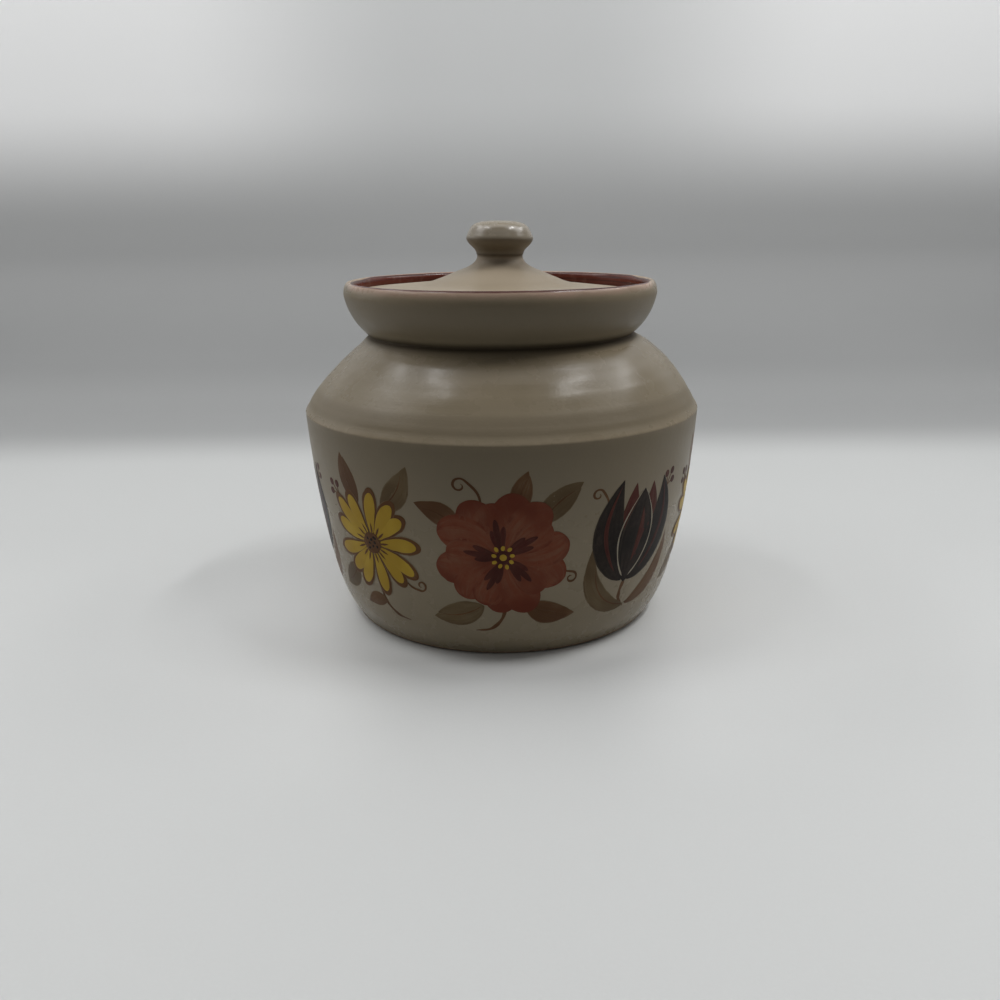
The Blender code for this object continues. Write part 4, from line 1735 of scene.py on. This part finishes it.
def sprig_tree() -> bpy.types.NodeTree:
    """The tree that paints a stain's strokes: repeats them, lets the hand wander, lays them on the jar.

    Returns:
        The node tree.
    """
    inputs = {
        "geometry": "Strokes",
        "object": "Jar",
        "count": "Repeats",
        "value": "Round, Wander, Ragged, Thickness, Seed",
        "material": "Stain",
    }
    bench, given, result = new_group("sprigs", "GeometryNodeTree", inputs, {"geometry": "Geometry"})
    place = bench.made("GeometryNodeInputPosition")

    # Repeats of the pattern, side by side on the unrolled belly
    gap = bench.math("DIVIDE", given["Round"], given["Repeats"])
    places = bench.node(
        "GeometryNodeMeshLine", {"Count": given["Repeats"], "Offset": bench.join(gap, 0.0, 0.0)}
    )
    inputs = {"Points": places.outputs[0], "Instance": given["Strokes"]}
    copies = bench.made("GeometryNodeInstanceOnPoints", inputs)
    number = bench.made("GeometryNodeInputIndex")
    copies = bench.keep(copies, "turn", bench.times(number, 17.0), domain="INSTANCE")
    strokes = bench.made("GeometryNodeRealizeInstances", {"Geometry": copies})
    strokes = bench.keep(strokes, "stroke", bench.math("ADD", bench.carried("stroke"), bench.carried("turn")))

    # The hand wanders a little, the same way for every stain at one place
    def rolled(spot: Socket) -> Socket:
        """The place of a spot once the sheet is rolled round the jar.

        Args:
            spot: a place on the unrolled sheet.

        Returns:
            A place on a round wall, so that a pattern read there closes on itself.
        """
        across, up, _ = bench.split(spot)
        turn = bench.times(bench.math("DIVIDE", across, given["Round"]), math.tau)
        reach = bench.math("DIVIDE", given["Round"], math.tau)
        x = bench.times(bench.math("COSINE", turn), reach)
        y = bench.times(bench.math("SINE", turn), reach)
        return bench.join(x, y, bench.math("ADD", up, given["Seed"]))

    flat = bench.vector("MULTIPLY", bench.shake(rolled(place), 22.0, 1.0, 0.5), (1.0, 1.0, 0.0))
    inputs = {"Geometry": strokes, "Offset": bench.scaled(flat, given["Wander"])}
    strokes = bench.made("GeometryNodeSetPosition", inputs)
    curves = bench.made("GeometryNodeMeshToCurve", {"Mesh": strokes})
    curves = bench.keep(curves, "middle", place, "FLOAT_VECTOR")
    curves = bench.keep(curves, "heading", bench.made("GeometryNodeInputTangent"), "FLOAT_VECTOR")

    # Each stroke gets a thin lens-shaped section
    section = bench.made("GeometryNodeCurvePrimitiveCircle", {"Resolution": 18, "Radius": 1.0})
    over, rise, _ = bench.split(place)
    flat_top = bench.times(bench.math("SIGN", rise), bench.math("POWER", bench.math("ABSOLUTE", rise), 0.4))
    section = bench.keep(bench.keep(section, "across", over), "rise", flat_top)
    inputs = {"Curve": curves, "Profile Curve": section, "Fill Caps": True}
    body = bench.made("GeometryNodeCurveToMesh", inputs)
    hx, hy, _ = bench.split(bench.carried("heading", "FLOAT_VECTOR"))
    side = bench.vector("NORMALIZE", bench.join(bench.times(hy, -1.0), hx, 0.0))
    span = bench.scaled(side, bench.times(bench.carried("half_width"), bench.carried("across")))
    spread = bench.vector("ADD", bench.carried("middle", "FLOAT_VECTOR"), span)
    flat = bench.vector("MULTIPLY", bench.shake(rolled(spread), 260.0, 3.0, 0.6), (1.0, 1.0, 0.0))
    room = bench.math("MINIMUM", bench.math("DIVIDE", bench.carried("half_width"), 4.0 * MM), 1.0)
    tremble = bench.scaled(flat, bench.times(given["Ragged"], room))
    spread = bench.vector("ADD", spread, tremble)
    lift = bench.math("MULTIPLY_ADD", bench.carried("rise"), given["Thickness"], bench.carried("lift"))

    # Laid on the jar: the wall is found from outside, at the same angle and height
    across, up, _ = bench.split(spread)
    turn = bench.math("MULTIPLY_ADD", bench.math("DIVIDE", across, given["Round"]), math.tau, -math.pi / 2.0)
    out = bench.join(bench.math("COSINE", turn), bench.math("SINE", turn), 0.0)
    source = bench.vector("ADD", bench.scaled(out, CLEAR_OF_JAR), bench.join(0.0, 0.0, up))
    jar = bench.node("GeometryNodeObjectInfo", {"Object": given["Jar"]}).outputs["Geometry"]
    inputs = {"Target Geometry": jar, "Source Position": source}
    inputs |= {"Ray Direction": bench.scaled(out, -1.0), "Ray Length": CLEAR_OF_JAR}
    ray = bench.node("GeometryNodeRaycast", inputs)
    laid = bench.vector("ADD", ray.outputs["Hit Position"], bench.scaled(ray.outputs["Hit Normal"], lift))
    body = bench.made("GeometryNodeSetPosition", {"Geometry": body, "Position": laid})
    for name in ("middle", "heading", "rise", "lift", "turn", "half_width"):
        body = bench.made("GeometryNodeRemoveAttribute", {"Geometry": body, "Name": name})
    body = bench.made("GeometryNodeSetShadeSmooth", {"Geometry": body})
    fold = bench.node("GeometryNodeInputMeshEdgeAngle").outputs["Unsigned Angle"]
    inputs = {"Geometry": body, "Selection": bench.math("GREATER_THAN", fold, 1.0), "Shade Smooth": False}
    body = bench.made("GeometryNodeSetShadeSmooth", inputs, domain="EDGE")
    body = bench.made("GeometryNodeRealizeInstances", {"Geometry": body})
    body = bench.made("GeometryNodeSetMaterial", {"Geometry": body, "Material": given["Stain"]})
    return bench.closed(result, Geometry=body)


@dataclass
class PaintedBelly:
    """The sprigs painted round the belly: three kinds, each three times."""

    middle: float = 55.0
    repeats: int = 3
    around: float = 2.0 * math.pi * 95.0
    wander: float = 4.0
    ragged: float = 0.9
    thickness: float = 0.03
    sunk: float = 0.015
    layer: float = 0.006
    seed: float = 0.4

    STAINS = {
        Stain.VINE: StainFinish("stain_vine", (0.118, 0.054, 0.022), (0.068, 0.028, 0.011), streaks=0.10),
        Stain.OLIVE: StainFinish("stain_olive", (0.126, 0.086, 0.043), (0.084, 0.052, 0.024), streaks=0.18),
        Stain.LEAF: StainFinish("stain_leaf", (0.122, 0.060, 0.026), (0.078, 0.034, 0.014), streaks=0.18),
        Stain.UNDER: StainFinish("stain_under", (0.132, 0.058, 0.020), (0.088, 0.036, 0.012), streaks=0.14),
        Stain.BRICK: StainFinish(
            "stain_brick", (0.172, 0.046, 0.022), (0.104, 0.019, 0.009), streaks=0.15, feather=0.0
        ),
        Stain.WINE: StainFinish(
            "stain_wine", (0.070, 0.012, 0.009), (0.036, 0.007, 0.005), streaks=0.10, feather=0.1
        ),
        Stain.YELLOW: StainFinish(
            "stain_yellow", (0.455, 0.305, 0.034), (0.335, 0.205, 0.020), streaks=0.08, feather=0.2
        ),
        Stain.PLUM: StainFinish(
            "stain_plum", (0.016, 0.010, 0.009), (0.007, 0.005, 0.004), streaks=0.05, feather=0.2
        ),
        Stain.PALE: StainFinish("stain_pale", (0.350, 0.305, 0.235), (0.270, 0.235, 0.180), streaks=0.05),
    }

    @property
    def pace(self) -> float:
        """The distance from one sprig to the next."""
        return self.around / self.repeats / 3.0

    def sprigs(self) -> list[Sprig]:
        """The sprigs of one repeat.

        Returns:
            The sprigs, from left to right.
        """
        return [
            Daisy((-self.pace, self.middle)),
            Bloom((0.0, self.middle)),
            Tulip((self.pace, self.middle + 4.0)),
        ]

    def stain_mesh(self, stain: Stain) -> bpy.types.Mesh:
        """The strokes of one stain as chains of edges on the unrolled belly.

        Args:
            stain: the stain.

        Returns:
            The mesh, with the widths and lifts as attributes.
        """
        points, edges = [], []
        marks: dict[str, list[float]] = {"half_width": [], "along": [], "lift": [], "stroke": []}
        for sprig in self.sprigs():
            for level, stroke in enumerate(sprig.strokes()):
                if stroke.stain is not stain:
                    continue
                line, along = stroke.line()
                first = len(points)
                points += [(x * MM, y * MM, 0.0) for x, y in line]
                edges += [(first + k, first + k + 1) for k in range(len(line) - 1)]
                marks["half_width"] += list(stroke.widths(along) * MM)
                marks["along"] += list(along)
                marks["lift"] += [(self.layer * level - self.sunk) * MM] * len(line)
                marks["stroke"] += [float(level) + sprig.centre[0]] * len(line)
        mesh = bpy.data.meshes.new(f"{stain.value}_strokes")
        mesh.from_pydata(points, edges, [])
        write_marks(mesh, marks)
        return mesh

    def build(self, jar: bpy.types.Object, shelf: EffectShelf) -> None:
        """Paints the sprigs, one piece for each stain.

        Args:
            jar: the finished body that they lie on.
            shelf: the shared surface effects.
        """
        tree = sprig_tree()
        for stain in Stain:
            values = {
                "Jar": jar, "Repeats": self.repeats, "Round": self.around * MM, "Wander": self.wander * MM
            }
            values |= {"Ragged": self.ragged * MM, "Thickness": self.thickness * MM, "Seed": self.seed}
            values["Stain"] = self.STAINS[stain].make(shelf)
            piece = grown(f"painted_{stain.value}", self.stain_mesh(stain), tree, values)
            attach(piece, "jar")


# -------------------- The studio --------------------


@dataclass(frozen=True)
class SoftBox:
    """A rectangular lamp with a diffuser."""

    name: str
    place: tuple[float, float, float]
    aim: tuple[float, float, float]
    size: Point
    power: float

    def hang(self) -> None:
        """Hangs the lamp and turns it to its aim."""
        lamp = bpy.data.lights.new(self.name, "AREA")
        lamp.shape = "RECTANGLE"
        lamp.size, lamp.size_y = self.size
        lamp.energy = self.power
        box = bpy.data.objects.new(self.name, lamp)
        box.location = self.place
        away = np.array(self.place) - np.array(self.aim)
        box.rotation_euler = Vector(away).to_track_quat("Z", "Y").to_euler()
        bpy.context.scene.collection.objects.link(box)


@dataclass
class Studio:
    """The pale sweep with its painted light and shade, the soft lamps and the camera."""

    camera_place: tuple[float, float, float] = (0.0, -0.488, 0.199)
    camera_turn: tuple[float, float, float] = (73.28, -0.67, 0.16)
    lens: float = 34.2
    sweep_half_width: float = 2.2
    sweep_front: float = -2.2
    sweep_bend: float = 0.50
    sweep_round: float = 0.16
    sweep_top: float = 2.0
    near_tone: Colour = (0.62, 0.63, 0.625)
    # Painted shadow at the foot; painted light at the contact, beside the jar and more on its left.
    foot_shadow_tone: Colour = (0.565, 0.575, 0.57)
    contact_light_tone: Colour = (0.76, 0.77, 0.765)
    beside_light_tone: Colour = (0.765, 0.775, 0.77)
    left_light_tone: Colour = (0.90, 0.91, 0.905)
    # Painted shade behind the jar, towards the edges, on the floor in front out of view, far back, on the
    # bend and on the wall; painted light high up and at the sides.
    back_shade_tone: Colour = (0.545, 0.555, 0.55)
    edge_shade_tone: Colour = (0.41, 0.42, 0.415)
    front_shadow_tone: Colour = (0.19, 0.195, 0.19)
    far_shade_tone: Colour = (0.33, 0.335, 0.335)
    bend_shade_tone: Colour = (0.28, 0.285, 0.285)
    wall_shade_tone: Colour = (0.445, 0.45, 0.45)
    high_light_tone: Colour = (0.71, 0.72, 0.72)
    side_light_tone: Colour = (0.98, 0.985, 0.985)
    fibre_tone: Colour = (0.45, 0.45, 0.45)
    room_light: float = 0.028
    room_shade: float = 0.31

    def sweep(self) -> None:
        """Builds the floor and backdrop as one bent sheet."""
        line = [(self.sweep_front, 0.0)]
        line += [(y, 0.0) for y in np.linspace(self.sweep_front, self.sweep_bend, 30)[1:]]
        for a in np.linspace(0.0, math.pi / 2.0, 24)[1:]:
            rise = self.sweep_round * (1.0 - math.cos(a))
            line.append((self.sweep_bend + self.sweep_round * math.sin(a), rise))
        back = self.sweep_bend + self.sweep_round
        line += [(back, z) for z in np.linspace(self.sweep_round, self.sweep_top, 20)[1:]]
        mesh = bpy.data.meshes.new("sweep")
        half = self.sweep_half_width
        points = [(side * half, y, z) for y, z in line for side in (-1.0, 1.0)]
        faces = [(2 * k, 2 * k + 1, 2 * k + 3, 2 * k + 2) for k in range(len(line) - 1)]
        mesh.from_pydata(points, [], faces)
        mesh.shade_smooth()
        sheet = bpy.data.objects.new("sweep", mesh)
        bpy.context.scene.collection.objects.link(sheet)
        mesh.materials.append(self.paper())

    def paper(self) -> bpy.types.Material:
        """The sweep's matt paper, its tones painting light and shade: pale in front, grey behind, pale again
        at the top.

        Returns:
            The material.
        """
        bench, shader, place, material = start_material("sweep_paper")
        x, y, z = bench.split(place)
        reach = bench.distance(x, y)
        # Painted light on the floor beside the jar, more on its left, and painted shadow just in front of and
        # behind the foot.
        left = bench.times(bench.ramp(x, -0.05, -0.10), bench.ramp(y, -0.10, 0.0))
        beside = bench.blend(left, self.beside_light_tone, self.left_light_tone)
        aside = bench.math("ABSOLUTE", x)
        close = bench.blend(bench.ramp(aside, 0.03, 0.09), self.foot_shadow_tone, beside)
        colour = bench.blend(bench.ramp(reach, 0.22, 0.09), self.near_tone, close)
        # Painted light at the front of the foot, where the contact shadow falls.
        contact = bench.times(bench.ramp(reach, 0.106, 0.088), bench.ramp(y, -0.05, -0.08))
        # Painted light on the backdrop: lighter high up and towards the sides.
        upper = bench.blend(bench.ramp(aside, 0.08, 0.38), self.high_light_tone, self.side_light_tone)
        fibre = bench.noise(place, 700.0, 3.0, 0.6)
        # Painted light at the contact; painted shade behind, at the edges, in front out of view, far back, on
        # the bend and wall; painted light high up; then the paper's own fibres.
        for share, tone in (
            (contact, self.contact_light_tone),
            (bench.ramp(y, -0.10, 0.12), self.back_shade_tone),
            (bench.ramp(reach, 0.40, 0.90), self.edge_shade_tone),
            (bench.ramp(y, -0.29, -0.46), self.front_shadow_tone),
            (bench.ramp(y, 0.285, 0.43), self.far_shade_tone),
            (bench.ramp(z, 0.004, 0.04), self.bend_shade_tone),
            (bench.ramp(z, 0.05, 0.15), self.wall_shade_tone),
            (bench.ramp(z, 0.19, 0.33), upper),
            (bench.times(fibre, 0.05), self.fibre_tone),
        ):
            colour = bench.blend(share, colour, tone)
        bump = {"Strength": 0.3, "Distance": 0.2 * MM, "Height": fibre}
        finish_material(bench, shader, colour, bench.ramp(fibre, 0.3, 0.7, 0.5, 0.6), bump)
        return material

    def lamps(self) -> None:
        """Hangs the lamps and sets the plain room light."""
        aim, front = (0.0, 0.0, 0.10), (0.0, 0.04, 0.10)
        boxes = (
            SoftBox("overhead", (0.0, 0.16, 1.20), aim, (2.2, 0.8), 7.6),
            SoftBox("left_side", (-1.10, 0.30, 0.50), aim, (0.6, 0.8), 1.3),
            SoftBox("right_side", (1.10, 0.30, 0.50), aim, (0.6, 0.8), 0.3),
            SoftBox("left_sky", (-0.86, 0.05, 0.95), aim, (0.7, 0.35), 1.8),
            SoftBox("right_sky", (0.86, 0.12, 0.95), aim, (0.7, 0.35), 1.8),
            SoftBox("left_window", (-0.47, -0.05, 1.07), front, (0.34, 0.09), 1.3),
            SoftBox("right_window", (0.52, -0.08, 1.07), front, (0.38, 0.045), 2.9),
            SoftBox("left_strip", (-0.66, 0.46, 1.00), aim, (0.46, 0.16), 0.8),
            SoftBox("right_strip", (0.92, 0.40, 0.98), aim, (0.52, 0.14), 1.2),
            SoftBox("front_fill", (0.0, -0.75, 1.10), aim, (1.6, 0.3), 0.9),
        )
        for box in boxes:
            box.hang()
        world = bpy.data.worlds.new("room")
        world.use_nodes = True
        bench = NodeBench(world.node_tree)
        world.node_tree.nodes.clear()
        path = bench.node("ShaderNodeLightPath").outputs
        seen = bench.math("MAXIMUM", path["Is Camera Ray"], path["Is Glossy Ray"])
        seen = bench.math("MAXIMUM", seen, path["Is Transmission Ray"])
        strength = bench.balance(seen, self.room_light, self.room_shade)
        shade = bench.node("ShaderNodeBackground", {"Color": (0.97, 0.98, 1.0), "Strength": strength})
        output = bench.node("ShaderNodeOutputWorld")
        bench.feed(output.inputs["Surface"], shade.outputs[0])
        bpy.context.scene.world = world

    def camera(self) -> None:
        """Sets the camera where the photographer stood."""
        lens = bpy.data.cameras.new("camera")
        lens.sensor_width = 36.0
        lens.lens = self.lens
        lens.clip_start = 0.01
        holder = bpy.data.objects.new("camera", lens)
        tilt, roll, yaw = (math.radians(a) for a in self.camera_turn)
        turn = Matrix.Rotation(yaw, 4, "Z") @ Matrix.Rotation(tilt, 4, "X") @ Matrix.Rotation(roll, 4, "Z")
        holder.matrix_world = Matrix.Translation(self.camera_place) @ turn
        bpy.context.scene.collection.objects.link(holder)
        bpy.context.scene.camera = holder

    def build(self) -> None:
        """Sets up the whole studio."""
        self.sweep()
        self.lamps()
        self.camera()
        bpy.context.scene.view_settings.view_transform = "Standard"


def main() -> None:
    """Builds the jar, its lid and knob, the painted sprigs and the studio."""
    logging.basicConfig(level=logging.INFO, format="%(name)s: %(message)s")
    shelf = EffectShelf()
    wheel = wheel_tree()
    jar = JarBody().throw("jar_body_thrown", wheel, shelf)
    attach(jar, "jar")
    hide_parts("jar_body")
    lid = Lid().throw("lid_thrown", wheel, shelf)
    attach(lid, "lid")
    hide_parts("lid")
    knob = LidKnob().throw("lid_knob_thrown", wheel, shelf)
    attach(knob, "lid")
    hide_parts("lid_knob")
    PaintedBelly().build(jar, shelf)
    Studio().build()


if __name__ == "__main__":
    main()
